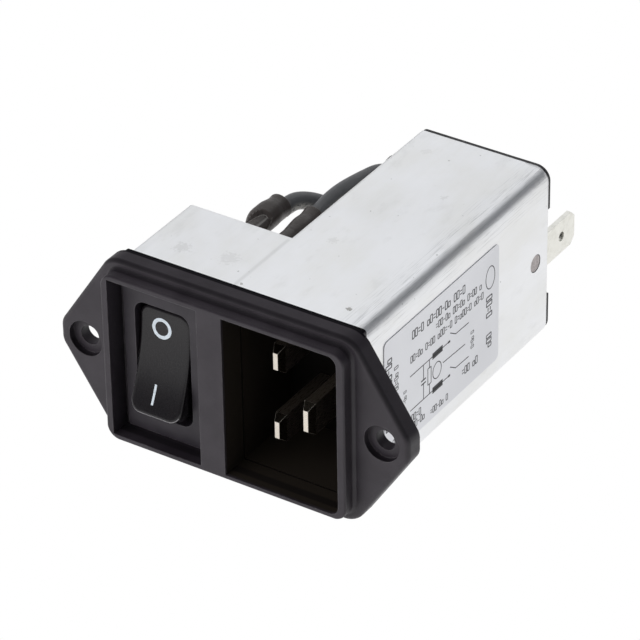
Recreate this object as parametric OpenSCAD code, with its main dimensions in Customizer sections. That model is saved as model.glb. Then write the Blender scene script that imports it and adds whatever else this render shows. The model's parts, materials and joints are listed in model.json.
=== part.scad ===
// Panel-mount mains inlet filter: a moulded front with a three-blade inlet and a rocker
// switch, and a bent sheet-metal can that holds the line filter.
// X runs to the right seen from the front, Y into the panel, Z up. The origin is midway
// between the two screw holes, in the plane where the flange seats on the panel.

/* [Flange] */
// Thickness of the flange plate
flange_t = 3.3; // [2.5:0.1:4]
// Height of the flange plate
flange_h = 34.4; // [34.1:0.1:37]
// Distance from the middle to the point where an ear's two slanted edges would meet
ear_reach = 34.1; // [33.6:0.1:37]
// Angle of an ear's slanted edge away from upright
ear_angle = 33.2; // [30:0.2:36]
// Distance from the middle to the blunt end of an ear
ear_end = 32.9; // [32.4:0.1:33.1]
// Corner radius where the flange's long edge meets an ear
flange_corner_r = 4; // [2.5:0.5:5]
// Corner radius at the blunt end of an ear
ear_end_r = 3; // [2:0.5:3.5]
// Radius of the rounded front edge of the flange
flange_edge_r = 0.8; // [0.4:0.1:1]
// Distance between the two screw holes
hole_spacing = 56; // [55:0.5:57]
// Diameter of a screw hole
hole_d = 3.5; // [3:0.1:4]
// Diameter of the counterbore for a screw head
counterbore_d = 6.4; // [5.5:0.1:7]
// Depth of the counterbore
counterbore_depth = 1.2; // [0.8:0.1:1.6]

/* [Bezel] */
// Width of the raised bezel
bezel_w = 45.6; // [45.4:0.1:46.4]
// Height of the raised bezel
bezel_h = 31.3; // [31:0.1:32]
// How far the bezel stands in front of the flange
bezel_proud = 2.5; // [2:0.1:3.5]
// Outer corner radius of the bezel
bezel_corner_r = 2.4; // [1.5:0.1:3]
// Radius of the bezel's rounded front edge
bezel_edge_r = 0.35; // [0.2:0.05:0.5]
// Radius of the cove between the bezel and the flange
cove_r = 0.7; // [0.4:0.1:0.7]
// Thickness of the collar behind the flange that the can butts against
collar_t = 1.3; // [1:0.1:2]
// How far the collar stands out past the can
collar_lip = 0.45; // [0.3:0.05:0.6]
// Depth of the skirt that the can slides over
skirt_depth = 8; // [6:0.5:10]
// Wall thickness of the skirt
skirt_wall = 1.1; // [0.9:0.1:1.2]

/* [Inlet] */
// Width of the inlet's mouth
inlet_w = 21.2; // [21:0.1:21.4]
// Height of the inlet's mouth
inlet_h = 29.6; // [29:0.1:29.8]
// Distance from the bezel's right edge to the inlet's mouth
inlet_rim = 1.4; // [1.3:0.1:1.5]
// Depth of the wide mouth of the inlet
mouth_depth = 5.2; // [4:0.1:6]
// Step from the wide mouth in to the inlet's well at its outer side
well_step = 0.95; // [0.9:0.05:1.1]
// Step from the wide mouth in to the well at its other three sides
well_step_in = 0.3; // [0.2:0.05:0.5]
// Depth of the inlet's well from the bezel's face
inlet_depth = 19; // [18:0.5:20]
// Corner radius at the inlet's outer side
inlet_corner_r = 1.6; // [1:0.1:2]
// Wall thickness round the well
inlet_wall = 1.1; // [0.9:0.1:1.3]
// Thickness of the wall that carries the blades
inlet_floor_t = 1.8; // [1.5:0.1:2.4]
// Distance between the line and neutral blades
blade_pitch = 13; // [12.5:0.1:13.5]
// Sideways distance from the line and neutral blades to the earth blade
earth_offset = 7.72; // [7.4:0.02:8.2]
// Sideways distance from the well's left wall to the line and neutral blades
blade_inset = 6.53; // [6:0.01:7.2]
// Thickness of a blade
blade_t = 2; // [1.8:0.1:2.2]
// Width of the line and neutral blades
blade_w = 5; // [4:0.1:5.4]
// Width of the earth blade
earth_blade_w = 5.8; // [4.3:0.1:6.2]
// How far the line and neutral tips lie behind the bezel's face
blade_recess = 4.8; // [4:0.1:6]
// How far the earth tip lies behind the bezel's face
earth_recess = 1.4; // [1:0.1:3]
// Length of a blade's tapered tip
tip_l = 1.35; // [1:0.05:1.6]
// How far the tip's end lies inside a blade's flat sides
tip_in = 0.58; // [0.4:0.02:0.7]
// How far the tip's end lies inside a blade's narrow sides
tip_side = 0.96; // [0.7:0.02:1.2]
// Length of a blade's tail behind the wall that carries it
blade_tail = 0.9; // [0.7:0.1:1.2]

/* [Switch] */
// Width of the recess for the switch
pocket_w = 17; // [16.6:0.1:17.2]
// Height of the recess for the switch
pocket_h = 29.4; // [29:0.1:29.6]
// Distance from the bezel's left edge to the recess
pocket_rim = 1.3; // [1.2:0.1:1.5]
// Depth of the recess from the bezel's face
pocket_depth = 4; // [3.6:0.1:4.4]
// Thickness of the recess's floor
pocket_floor_t = 1.6; // [1.2:0.1:2]
// Thickness of the switch's face frame
frame_t = 1.2; // [0.8:0.1:1.4]
// Width of the switch's face frame
frame_w = 14.7; // [14.5:0.1:15.4]
// Height of the switch's face frame
frame_h = 27.8; // [27.2:0.1:28.4]
// Width of the rocker's opening in the face frame
rocker_hole_w = 10.5; // [10.2:0.1:11]
// Height of the rocker's opening in the face frame
rocker_hole_h = 21.2; // [20.8:0.1:22]
// Corner radius of the rocker's opening
rocker_hole_r = 2; // [1.5:0.1:2.5]
// Side wall thickness of the switch's body
switch_wall = 1.5; // [1.4:0.1:1.7]
// Depth of the switch's body behind its frame's face
switch_depth = 14; // [13.8:0.1:15]
// Thickness of the switch's back wall
switch_back_t = 2; // [1.6:0.1:2.4]
// Gap between the switch's body and the opening it sits in
switch_gap = 0.1; // [0.05:0.05:0.2]
// Gap between the rocker and its opening at each side
rocker_gap = 0.3; // [0.2:0.05:0.35]
// Radius of the rocker's ends about its pivot
rocker_r = 9.8; // [9.4:0.1:10]
// Half of the rocker's travel
rocker_tilt = 14; // [10:1:15]
// Angle from the pivot's level up to the edge of the rocker's face
face_angle = 21; // [18:1:23]
// Angle from the pivot's level down to the underside of the rocker's ends
skirt_angle = 12; // [8:1:14]
// Radius of the hollow of the rocker's face
face_hollow_r = 33; // [28:1:45]
// Distance of the pivot behind the switch's face
pivot_depth = 2; // [1.6:0.1:2.2]
// Radius of the rocker's pivot studs
stud_r = 1.2; // [1:0.1:1.3]
// Length of a pivot stud
stud_l = 1; // [0.8:0.1:1.1]
// Radial clearance round the pivot studs
stud_clearance = 0.05; // [0.03:0.01:0.08]
// Distance between the two poles of the switch
pole_pitch = 5.8; // [5.6:0.1:6]
// Diameter of a plunger
plunger_d = 2.2; // [2:0.1:2.4]
// Distance from the pivot to the middle of a plunger's round tip
plunger_reach = 5.4; // [5.2:0.1:5.6]
// Radial clearance of a plunger in its bore
plunger_clearance = 0.06; // [0.04:0.01:0.1]
// Wire diameter of a plunger's spring
spring_wire_d = 0.35; // [0.3:0.05:0.4]
// Thickness of a contact lever
lever_t = 0.5; // [0.4:0.05:0.6]
// Width of a contact lever
lever_w = 3; // [2.6:0.1:3.4]
// Half of a contact lever's length
lever_arm = 8.4; // [8:0.1:8.6]
// Half of a contact lever's travel
lever_tilt = 8; // [6:0.5:9]
// Diameter of a contact button
contact_d = 2.4; // [2:0.1:2.8]
// Thickness of a contact button
contact_t = 0.5; // [0.4:0.05:0.6]
// Width of a terminal strip
terminal_w = 2.8; // [2.4:0.1:3]
// Thickness of a terminal strip
terminal_t = 0.6; // [0.5:0.1:0.8]

/* [Can] */
// Width of the can
can_w = 44.1; // [43.8:0.1:44.6]
// Height of the can
can_h = 32.2; // [32:0.1:32.6]
// Thickness of the can's sheet metal
sheet_t = 0.6; // [0.5:0.05:0.7]
// Distance from the seat to the back of the can's full-width front
can_front_y = 18; // [17.6:0.1:22]
// Distance from the seat to the can's rear end
can_rear_y = 57.4; // [56:0.2:64]
// Sideways place of the rear half's left wall, left of the middle
step_x = 2.6; // [2.4:0.1:2.9]
// Outer bend radius of the can's right-hand edges
bend_r = 2.5; // [1.5:0.1:3]
// Outer bend radius of the can's left-hand edges
fold_r = 1; // [0.8:0.1:1.5]
// Gap between the can and the skirt inside it
can_gap = 0.08; // [0.05:0.01:0.12]
// Length of the rating label
label_l = 34.8; // [30:0.2:36]
// Height of the rating label
label_h = 22.3; // [18:0.1:24]
// Thickness of the rating label
label_t = 0.12; // [0.1:0.02:0.2]
// Corner radius of the rating label
label_r = 1; // [0.8:0.1:2.5]

/* [Rear] */
// Thickness of the rear cover's plate
cover_t = 1.6; // [1.2:0.1:2]
// Thickness of the rear cover's thin rim behind the can's end
rim_t = 0.8; // [0.4:0.1:1]
// Gap between the rear cover and the can
cover_gap = 0.08; // [0.05:0.01:0.12]
// Width of a quick-connect tab
tab_w = 6.3; // [6.3:0.1:6.5]
// Thickness of a quick-connect tab
tab_t = 0.8; // [0.8:0.05:0.85]
// How far a tab stands out behind the can
tab_out = 9.95; // [8:0.05:12]
// Bevel at a tab's end
tab_bevel = 1.2; // [0.8:0.1:1.5]
// Diameter of the hole in a tab
tab_hole_d = 1.7; // [1.5:0.1:2]
// Distance from a tab's end to its hole
tab_hole_in = 4.3; // [4:0.1:4.8]
// Distance from the can's rear end to the earth rivet
rivet_in = 3.8; // [3.5:0.1:5]
// Diameter of the earth rivet's shank
rivet_d = 3; // [2.6:0.1:3.2]
// Distance between the two load tabs
load_pitch = 8; // [7:0.1:9]

/* [Filter] */
// Thickness of the circuit board
board_t = 1.6; // [1.2:0.1:1.6]
// Height of the board's underside above the can's bottom
board_rise = 3; // [2.4:0.1:3.4]
// Outer radius of the choke's core
core_r = 9.2; // [8.6:0.1:9.4]
// Radius of the hole through the choke's core
core_hole_r = 5.2; // [4.8:0.1:5.6]
// Length of the choke's core
core_l = 7.6; // [7:0.1:8]
// Diameter of the choke's wire
wire_d = 1.2; // [1:0.05:1.3]
// Turns of wire in each winding
turns = 7; // [5:1:8]
// Width of the line capacitor
xcap_w = 14.5; // [12:0.5:15]
// Length of the line capacitor
xcap_l = 7.5; // [6:0.5:8]
// Height of the line capacitor
xcap_h = 14; // [11:0.5:16]
// Diameter of an earth capacitor's disc
disc_d = 7.6; // [6.5:0.1:8]
// Thickness of an earth capacitor's disc
disc_t = 3; // [2.4:0.1:3.2]
// Diameter of a component's leg
leg_d = 0.8; // [0.6:0.1:0.9]

/* [Leads] */
// Diameter of a jumper lead
lead_d = 3; // [2.8:0.1:3.1]
// Outer diameter of a lead's shrunk sleeve
sleeve_d = 3.9; // [3.7:0.1:4.2]
// Length of a sleeve
sleeve_l = 20; // [14:0.5:21]
// Outer diameter of a grommet
grommet_d = 6.6; // [6:0.1:7]

/* [Hidden] */
$fn = 48;
poles = [-1, 1];
eps = 0.01;
hair = 0.01;

// Stations along Y
flange_front = -flange_t;
bezel_front = flange_front - bezel_proud;
collar_back = collar_t;
skirt_back = collar_back + skirt_depth;
well_floor = bezel_front + inlet_depth;
inlet_back = well_floor + inlet_floor_t;
pocket_floor = bezel_front + pocket_depth;
switch_face = pocket_floor - frame_t;
switch_back = switch_face + switch_depth;
front_wall_in = can_front_y - sheet_t;

// Can, outside and inside
can_x = can_w / 2;
can_z = can_h / 2;
in_x = can_x - sheet_t;
in_z = can_z - sheet_t;
step_in = -step_x + sheet_t;

// Inlet
mouth_right = bezel_w / 2 - inlet_rim;
mouth_left = mouth_right - inlet_w;
well_right = mouth_right - well_step;
well_left = mouth_left + well_step_in;
well_z = inlet_h / 2 - well_step_in;
blade_x = well_left + blade_inset;
earth_x = blade_x + earth_offset;
tail_back = inlet_back + blade_tail;

// Switch
pocket_left = -bezel_w / 2 + pocket_rim;
switch_x = pocket_left + pocket_w / 2;
body_half_w = rocker_hole_w / 2 + switch_wall;
body_half_h = rocker_hole_h / 2 + switch_wall;
pivot_y = switch_face + pivot_depth;
rocker_half_w = rocker_hole_w / 2 - rocker_gap;
underside = rocker_r * sin(skirt_angle);
bore_top = -1.1;
lever_y = pivot_y + plunger_reach + plunger_d / 2 + lever_t + 0.12;
lever_gap = 0.06;
ridge_r = 0.5;
lever_back = lever_gap + ridge_r;
ridge_y = lever_y + lever_back;
load_z = (lever_arm - contact_d / 2) * cos(lever_tilt);
contact_arm = lever_arm - contact_d / 2;

// Filter and rear
board_z = -in_z + board_rise;
board_top = board_z + board_t;
board_gap = 0.1;
ledge_t = 1.5;
ledge_l = 2;
cover_front = can_rear_y - cover_t;
tab_end = can_rear_y + tab_out;
rivet_head_r = rivet_d / 2 + 1;
rivet_head_t = 0.8;
rivet_clearance = 0.1;
rim_inset = 0.1;
grommet_half = 1.1;
resistor_d = 2.4;
resistor_l = 6.4;
resistor_y = inlet_back + ledge_l + 1.4;
choke_x = (step_in + in_x) / 2;
choke_z = board_top + core_r + 0.2;
winding_gap = 0.15;
winding_rise = wire_d / 2 + winding_gap;
winding_front = core_l / 2 + winding_rise;
leg_front = winding_front + wire_d + 0.2;
choke_y = resistor_y + resistor_d / 2 + leg_front + wire_d / 2 + 1.3;
xcap_y = choke_y + winding_front + wire_d / 2 + xcap_l / 2 + 2.9;
disc_y = xcap_y + xcap_l / 2 + disc_t / 2 + 1.9;
disc_pitch = disc_d + 0.6;
disc_x = choke_x - 1;
load_x = choke_x - 1.2;

// Jumper leads: both run straight out of the switch, bend over the notch and end on the board
entry = 9;
lead_a = [[-15.9, 15.9, 7.5], [-15.9, 25, 7.5], [-15.9, 37, 7.5], [-15.2, 39.2, 7.9],
    [-14.1, 41, 7.7], [-12.6, 42.3, 7], [-9.6, 43, 6], [-6.2, 42.6, 5.2], [-3.8, 42, 4.8],
    [0, 42, 4.8], [1.6, 42, 3.6], [2.4, 42, 0.8], [2.4, 42, -6], [2.4, 42, -10.8]];
lead_b = [[-10.1, 15.9, 7.5], [-10.1, 25, 7.5], [-10.1, 36.8, 7.5], [-9.6, 40.2, 8.7],
    [-8.6, 42.5, 9.8], [-7.3, 44.3, 10.7], [-6, 46.1, 11.4], [-4.9, 47.8, 11.8], [-3.8, 48.6, 11.8],
    [0, 48.6, 11.8], [1.8, 49, 11], [2.6, 50, 8], [2.6, 50, -4], [2.6, 50, -10.8]];

// ---- shared forms ----

function unit(v) = v / norm(v);
// Corner i of a closed outline: its two directions, half angle and arc centre
function arm(p, i, s) = unit(p[(i + s + len(p)) % len(p)] - p[i]);
function half_angle(p, i) = acos(arm(p, i, 1) * arm(p, i, -1)) / 2;
function arc_centre(p, i, r) = p[i] + unit(arm(p, i, 1) + arm(p, i, -1)) * r / sin(half_angle(p, i));
function tangent(p, i, s, r) = p[i] + arm(p, i, s) * r / tan(half_angle(p, i));

// Outline with true arcs at its corners; inset moves every edge inwards
module outline(p, r, inset = 0) {
    n = len(p);
    polygon([for (i = [0:n - 1]) for (s = [-1, 1])
        tangent(p, i, s, r[i]) + unit(arc_centre(p, i, r[i]) - tangent(p, i, s, r[i])) * inset]);
    for (i = [0:n - 1]) translate(arc_centre(p, i, r[i])) circle(r[i] - inset);
}

// Section of a plate's rim: depth d inwards, thickness t, outer top edge rounded
module rim_section(d, t, edge) {
    difference() {
        square([d, t]);
        translate([d - edge, t - edge]) difference() {
            square(edge + 1);
            circle(edge);
        }
    }
}

// Plate from z = 0 up to t, its upper edge rounded all the way round. The straight runs lie
// a hair inside the corner discs, so that no two surfaces only graze each other.
module soft_plate(p, r, t, edge) {
    n = len(p);
    linear_extrude(t) outline(p, r, edge);
    for (i = [0:n - 1]) {
        a = tangent(p, i, 1, r[i]);
        b = tangent(p, (i + 1) % n, -1, r[(i + 1) % n]);
        run = b - a;
        translate(a) rotate(atan2(run[1], run[0])) rotate([90, 0, 90]) linear_extrude(norm(run))
            translate([r[i], 0]) mirror([1, 0]) rim_section(r[i] - hair, t, edge);
        translate(arc_centre(p, i, r[i])) rotate_extrude() rim_section(r[i], t, edge);
    }
}

function rect(w, h) = [[-w / 2, -h / 2], [w / 2, -h / 2], [w / 2, h / 2], [-w / 2, h / 2]];

// Stands a flat form on the front: x stays, y turns to z, and its thickness runs to -y
module facing_front(y) {
    translate([0, y, 0]) rotate([90, 0, 0]) children();
}

// Bar along Y with the outline of a rectangle whose corners have their own radii
module y_bar(x0, x1, z0, z1, y0, y1, r = [0, 0, 0, 0]) {
    p = [[x0, z0], [x1, z0], [x1, z1], [x0, z1]];
    facing_front(y1) linear_extrude(y1 - y0)
        if (max(r) > 0) outline(p, [for (v = r) max(v, 0.05)]);
        else polygon(p);
}

module box(x0, x1, y0, y1, z0, z1) {
    translate([x0, y0, z0]) cube([x1 - x0, y1 - y0, z1 - z0]);
}

// Round bar along Y
module y_rod(x, y0, y1, z, r) {
    translate([x, y1, z]) rotate([90, 0, 0]) cylinder(r = r, h = y1 - y0);
}

// Round bar along X
module x_rod(x0, x1, y, z, r) {
    translate([x0, y, z]) rotate([0, 90, 0]) cylinder(r = r, h = x1 - x0);
}

// Round bar along Z
module z_rod(x, y, z0, z1, r) {
    translate([x, y, z0]) cylinder(r = r, h = z1 - z0);
}

// ---- moulded front ----

ear_run = tan(ear_angle);
flange_points = [for (q = [[-1, -1], [1, -1]]) [q[0] * (ear_reach - flange_h / 2 * ear_run), -flange_h / 2],
    [ear_end, -(ear_reach - ear_end) / ear_run], [ear_end, (ear_reach - ear_end) / ear_run],
    [ear_reach - flange_h / 2 * ear_run, flange_h / 2], [-(ear_reach - flange_h / 2 * ear_run), flange_h / 2],
    [-ear_end, (ear_reach - ear_end) / ear_run], [-ear_end, -(ear_reach - ear_end) / ear_run]];
flange_radii = [flange_corner_r, flange_corner_r, ear_end_r, ear_end_r,
    flange_corner_r, flange_corner_r, ear_end_r, ear_end_r];
bezel_points = rect(bezel_w, bezel_h);
bezel_radii = [for (i = [0:3]) bezel_corner_r];

// Hollow curve from the bezel's wall down to the flange
module cove() {
    h = bezel_h / 2 - bezel_corner_r;
    w = bezel_w / 2 - bezel_corner_r;
    for (q = [[1, 1, 0], [-1, 1, 90], [-1, -1, 180], [1, -1, 270]]) {
        translate([q[0] * w, q[1] * h]) rotate(q[2]) rotate_extrude(angle = 90)
            translate([bezel_corner_r - 0.5, 0]) cove_section();
    }
    for (s = [0, 180]) rotate(s) {
        translate([bezel_w / 2 - 0.5, -h, 0]) rotate([90, 0, 180]) mirror([1, 0])
            linear_extrude(2 * h) cove_section();
        translate([w, bezel_h / 2 - 0.5, 0]) rotate([90, 0, -90]) mirror([1, 0])
            linear_extrude(2 * w) cove_section();
    }
}

// Section of the cove, part of it sunk in the bezel's wall and in the flange
module cove_section() {
    difference() {
        translate([0, -0.3]) square([0.5 + cove_r, 0.3 + cove_r]);
        translate([0.5 + cove_r, cove_r]) circle(cove_r + 0.04);
    }
}

module inlet_void() {
    y_bar(mouth_left, mouth_right, -inlet_h / 2, inlet_h / 2, bezel_front - 1,
        bezel_front + mouth_depth, [0, inlet_corner_r, inlet_corner_r, 0]);
    y_bar(well_left, well_right, -well_z, well_z, bezel_front,
        well_floor, [0, inlet_corner_r, inlet_corner_r, 0]);
}

// Bar that slides into the can, with the can's own inside corners
module can_plug(x0, y0, y1, inset = 0) {
    left = x0 > step_in ? 0 : fold_r - sheet_t;
    y_bar(x0 + inset, in_x - can_gap - inset, -in_z + can_gap + inset, in_z - can_gap - inset, y0, y1,
        [left, bend_r - sheet_t, bend_r - sheet_t, left]);
}

module blade_slot(x, z, w) {
    box(x - blade_t / 2, x + blade_t / 2, well_floor - 1, inlet_back + 1, z - w / 2, z + w / 2);
}

module front_bezel() color([0.27, 0.26, 0.28]) {
    difference() {
        union() {
            facing_front(0) soft_plate(flange_points, flange_radii, flange_t, flange_edge_r);
            facing_front(flange_front + 1) soft_plate(bezel_points, bezel_radii, bezel_proud + 1, bezel_edge_r);
            facing_front(flange_front) cove();
            y_bar(-can_x - collar_lip, can_x + collar_lip, -can_z - collar_lip, can_z + collar_lip,
                -1, collar_back, [0.6, 0.6, 0.6, 0.6]);
            can_plug(-in_x + can_gap, -1, skirt_back);
            can_plug(well_left - inlet_wall, -1, inlet_back);
            box(well_left - inlet_wall, in_x - can_gap, inlet_back - 1, inlet_back + ledge_l,
                board_z - board_gap - ledge_t, board_z - board_gap);
        }
        inlet_void();
        y_bar(pocket_left, pocket_left + pocket_w, -pocket_h / 2, pocket_h / 2, bezel_front - 1, pocket_floor);
        box(switch_x - body_half_w - switch_gap, switch_x + body_half_w + switch_gap, pocket_floor - 1,
            pocket_floor + pocket_floor_t + 8, -body_half_h - switch_gap, body_half_h + switch_gap);
        box(-in_x + can_gap + skirt_wall, well_left - inlet_wall, pocket_floor + pocket_floor_t, skirt_back + 1,
            -in_z + can_gap + skirt_wall, in_z - can_gap - skirt_wall);
        for (s = [-1, 1]) {
            y_rod(s * hole_spacing / 2, flange_front - 1, 1, 0, hole_d / 2);
            y_rod(s * hole_spacing / 2, flange_front - 1, flange_front + counterbore_depth, 0,
                counterbore_d / 2);
        }
        for (s = [-1, 1]) blade_slot(blade_x, s * blade_pitch / 2, blade_w);
        blade_slot(earth_x, 0, earth_blade_w);
    }
}

// ---- inlet blades ----

// Outline of a bar of half width h and length l whose end at 0 is drawn in over the tip
module tapered(h, l, inset) {
    polygon([[-h + inset, 0], [h - inset, 0], [h, tip_l], [h, l], [-h, l], [-h, tip_l]]);
}

// Blade with a tapered tip, seated in the inlet's rear wall
module blade(x, z, w, tip) {
    translate([x, tip, z]) rotate([-90, 0, 0]) intersection() {
        rotate([90, 0, 90]) linear_extrude(blade_t, center = true) tapered(w / 2, tail_back - tip, tip_side);
        rotate([90, 0, 0]) linear_extrude(w + 1, center = true) tapered(blade_t / 2, tail_back - tip, tip_in);
    }
}

module line_pin() color([0.88, 0.85, 0.8])
    blade(blade_x, blade_pitch / 2, blade_w, bezel_front + blade_recess);
module neutral_pin() color([0.88, 0.85, 0.8])
    blade(blade_x, -blade_pitch / 2, blade_w, bezel_front + blade_recess);
module earth_pin() color([0.88, 0.85, 0.8])
    blade(earth_x, 0, earth_blade_w, bezel_front + earth_recess);

// ---- switch ----

function pole_x(s) = switch_x + s * pole_pitch / 2;

module switch_housing() color([0.22, 0.21, 0.23]) {
    difference() {
        union() {
            y_bar(switch_x - frame_w / 2, switch_x + frame_w / 2, -frame_h / 2, frame_h / 2,
                switch_face, pocket_floor, [0.4, 0.4, 0.4, 0.4]);
            box(switch_x - body_half_w, switch_x + body_half_w, switch_face + 0.5, switch_back,
                -body_half_h, body_half_h);
        }
        y_bar(switch_x - rocker_hole_w / 2, switch_x + rocker_hole_w / 2, -rocker_hole_h / 2,
            rocker_hole_h / 2, switch_face - 1, switch_back - switch_back_t,
            [for (i = [0:3]) rocker_hole_r]);
        x_rod(switch_x - rocker_half_w - stud_l - 0.1, switch_x + rocker_half_w + stud_l + 0.1,
            pivot_y, 0, stud_r + stud_clearance);
        for (s = poles) for (z = [0, load_z])
            box(pole_x(s) - terminal_w / 2 - 0.05, pole_x(s) + terminal_w / 2 + 0.05,
                switch_back - switch_back_t - 1, switch_back + 1,
                z - terminal_t / 2 - 0.05, z + terminal_t / 2 + 0.05);
    }
}

// Side view of the rocker about its pivot, face towards +y
module rocker_profile() {
    face_z = rocker_r * cos(face_angle);
    face_top = rocker_r * sin(face_angle);
    hollow_y = face_top + sqrt(face_hollow_r * face_hollow_r - face_z * face_z);
    difference() {
        intersection() {
            circle(rocker_r, $fn = 96);
            translate([-rocker_r, -underside]) square([2 * rocker_r, underside + face_top]);
        }
        translate([0, hollow_y]) circle(face_hollow_r, $fn = 180);
    }
}

module rocker() color([0.2, 0.19, 0.21])
    translate([switch_x, pivot_y, 0]) rotate([-rocker_tilt, 0, 0]) difference() {
        union() {
            intersection() {
                rotate([90, 0, 90]) linear_extrude(2 * rocker_half_w, center = true)
                    rotate(90) rocker_profile();
                y_bar(-rocker_half_w, rocker_half_w, -rocker_r, rocker_r, -rocker_r, rocker_r,
                    [for (i = [0:3]) rocker_hole_r]);
            }
            x_rod(-rocker_half_w - stud_l, rocker_half_w + stud_l, 0, 0, stud_r);
        }
        for (s = poles)
            y_rod(s * pole_pitch / 2, bore_top, rocker_r, 0, plunger_d / 2 + plunger_clearance);
    }

// Spring-loaded plunger in the rocker's underside
module plunger(s) color([0.9, 0.9, 0.86])
    translate([switch_x, pivot_y, 0]) rotate([-rocker_tilt, 0, 0]) {
        y_rod(s * pole_pitch / 2, 0.9, plunger_reach, 0, plunger_d / 2);
        translate([s * pole_pitch / 2, plunger_reach, 0]) sphere(plunger_d / 2);
    }
module plunger_left() plunger(-1);
module plunger_right() plunger(1);

// Coil spring between the bore's end and the plunger
spring_turns = 4;
spring_r = plunger_d / 2 - spring_wire_d / 2;
spring_l = 0.9 - bore_top - spring_wire_d - 0.1;
spring_path = [for (i = [0:spring_turns * 10])
    [spring_r * cos(36 * i), spring_wire_d / 2 + 0.05 + spring_l * i / (spring_turns * 10),
        spring_r * sin(36 * i)]];
module plunger_spring(s) color([0.75, 0.75, 0.72])
    translate([switch_x, pivot_y, 0]) rotate([-rocker_tilt, 0, 0])
        translate([s * pole_pitch / 2, bore_top, 0]) tube(spring_path, spring_wire_d / 2, 6);
module plunger_spring_left() plunger_spring(-1);
module plunger_spring_right() plunger_spring(1);

// See-saw strip with a contact button, tipped about the ridge's middle, away from its
// fixed contact
module contact_lever(s) color([0.78, 0.62, 0.36])
    translate([pole_x(s), ridge_y, 0]) rotate([lever_tilt, 0, 0]) translate([0, -lever_back, 0]) {
        box(-lever_w / 2, lever_w / 2, -lever_t, 0, -lever_arm, lever_arm);
        y_rod(0, -eps, contact_t, contact_arm, contact_d / 2);
    }
module contact_lever_left() contact_lever(-1);
module contact_lever_right() contact_lever(1);

// Middle terminal with the ridge that the lever rocks on
module common_terminal(s) color([0.8, 0.66, 0.4]) {
    x_rod(pole_x(s) - terminal_w / 2, pole_x(s) + terminal_w / 2, ridge_y, 0, ridge_r);
    box(pole_x(s) - terminal_w / 2, pole_x(s) + terminal_w / 2, ridge_y, tail_back,
        -terminal_t / 2, terminal_t / 2);
}
module common_terminal_left() common_terminal(-1);
module common_terminal_right() common_terminal(1);

// End terminal with its fixed contact button, which lies square to the closed lever's
module load_terminal(s) color([0.8, 0.66, 0.4]) {
    button_y = contact_t + lever_gap - lever_back;
    translate([pole_x(s), ridge_y, 0]) rotate([-lever_tilt, 0, 0])
        y_rod(0, button_y, button_y + contact_t + 0.3, contact_arm, contact_d / 2);
    box(pole_x(s) - terminal_w / 2, pole_x(s) + terminal_w / 2,
        ridge_y + contact_arm * sin(lever_tilt) + button_y + contact_t, tail_back,
        load_z - terminal_t / 2, load_z + terminal_t / 2);
}
module load_terminal_left() load_terminal(-1);
module load_terminal_right() load_terminal(1);

// ---- links from the blades to the switch ----

link_t = 0.6;
link_w = 2.2;
link_elbow_x = well_left - 3.8;

module link_bar(x0, x1, z0, z1) {
    box(min(x0, x1) - link_w / 2, max(x0, x1) + link_w / 2, tail_back, tail_back + link_t,
        min(z0, z1) - link_w / 2, max(z0, z1) + link_w / 2);
}

module line_link() color([0.8, 0.66, 0.4]) {
    link_bar(link_elbow_x, blade_x, blade_pitch / 2, blade_pitch / 2);
    link_bar(link_elbow_x, link_elbow_x, 0, blade_pitch / 2);
    link_bar(pole_x(1), link_elbow_x, 0, 0);
}

module neutral_link() color([0.8, 0.66, 0.4]) {
    link_bar(pole_x(-1), blade_x, -blade_pitch / 2, -blade_pitch / 2);
    link_bar(pole_x(-1), pole_x(-1), -blade_pitch / 2, 0);
}

// ---- can ----

// Outline of the can as a closed form, inset by the sheet for its inside
module can_form(inset, front, rear) {
    radii = [fold_r - inset, bend_r - inset, bend_r - inset, fold_r - inset];
    y_bar(-can_x + inset, can_x - inset, -can_z + inset, can_z - inset, front, can_front_y - inset, radii);
    y_bar(-step_x + inset, can_x - inset, -can_z + inset, can_z - inset, front, rear, radii);
}

module filter_can() color([0.84, 0.85, 0.86]) {
    difference() {
        can_form(0, collar_back, can_rear_y);
        can_form(sheet_t, collar_back - 1, can_rear_y + 1);
        for (p = [lead_a, lead_b]) {
            y_rod(p[0][0], front_wall_in - 1, can_front_y + 1, p[0][2], sleeve_d / 2 + 0.1);
            x_rod(-step_x - 1, step_in + 1, p[entry][1], p[entry][2], grommet_d / 2 - 0.6);
        }
        x_rod(in_x - 1, can_x + 1, can_rear_y - rivet_in, 0, rivet_d / 2 + rivet_clearance);
    }
}

module rating_label() color([0.82, 0.83, 0.85])
    translate([can_x, 6.8 + label_l / 2, -0.55]) rotate([90, 0, 90]) linear_extrude(label_t)
        outline(rect(label_l, label_h), [for (i = [0:3]) label_r]);

// ---- rear cover, tabs and earth ----

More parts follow.
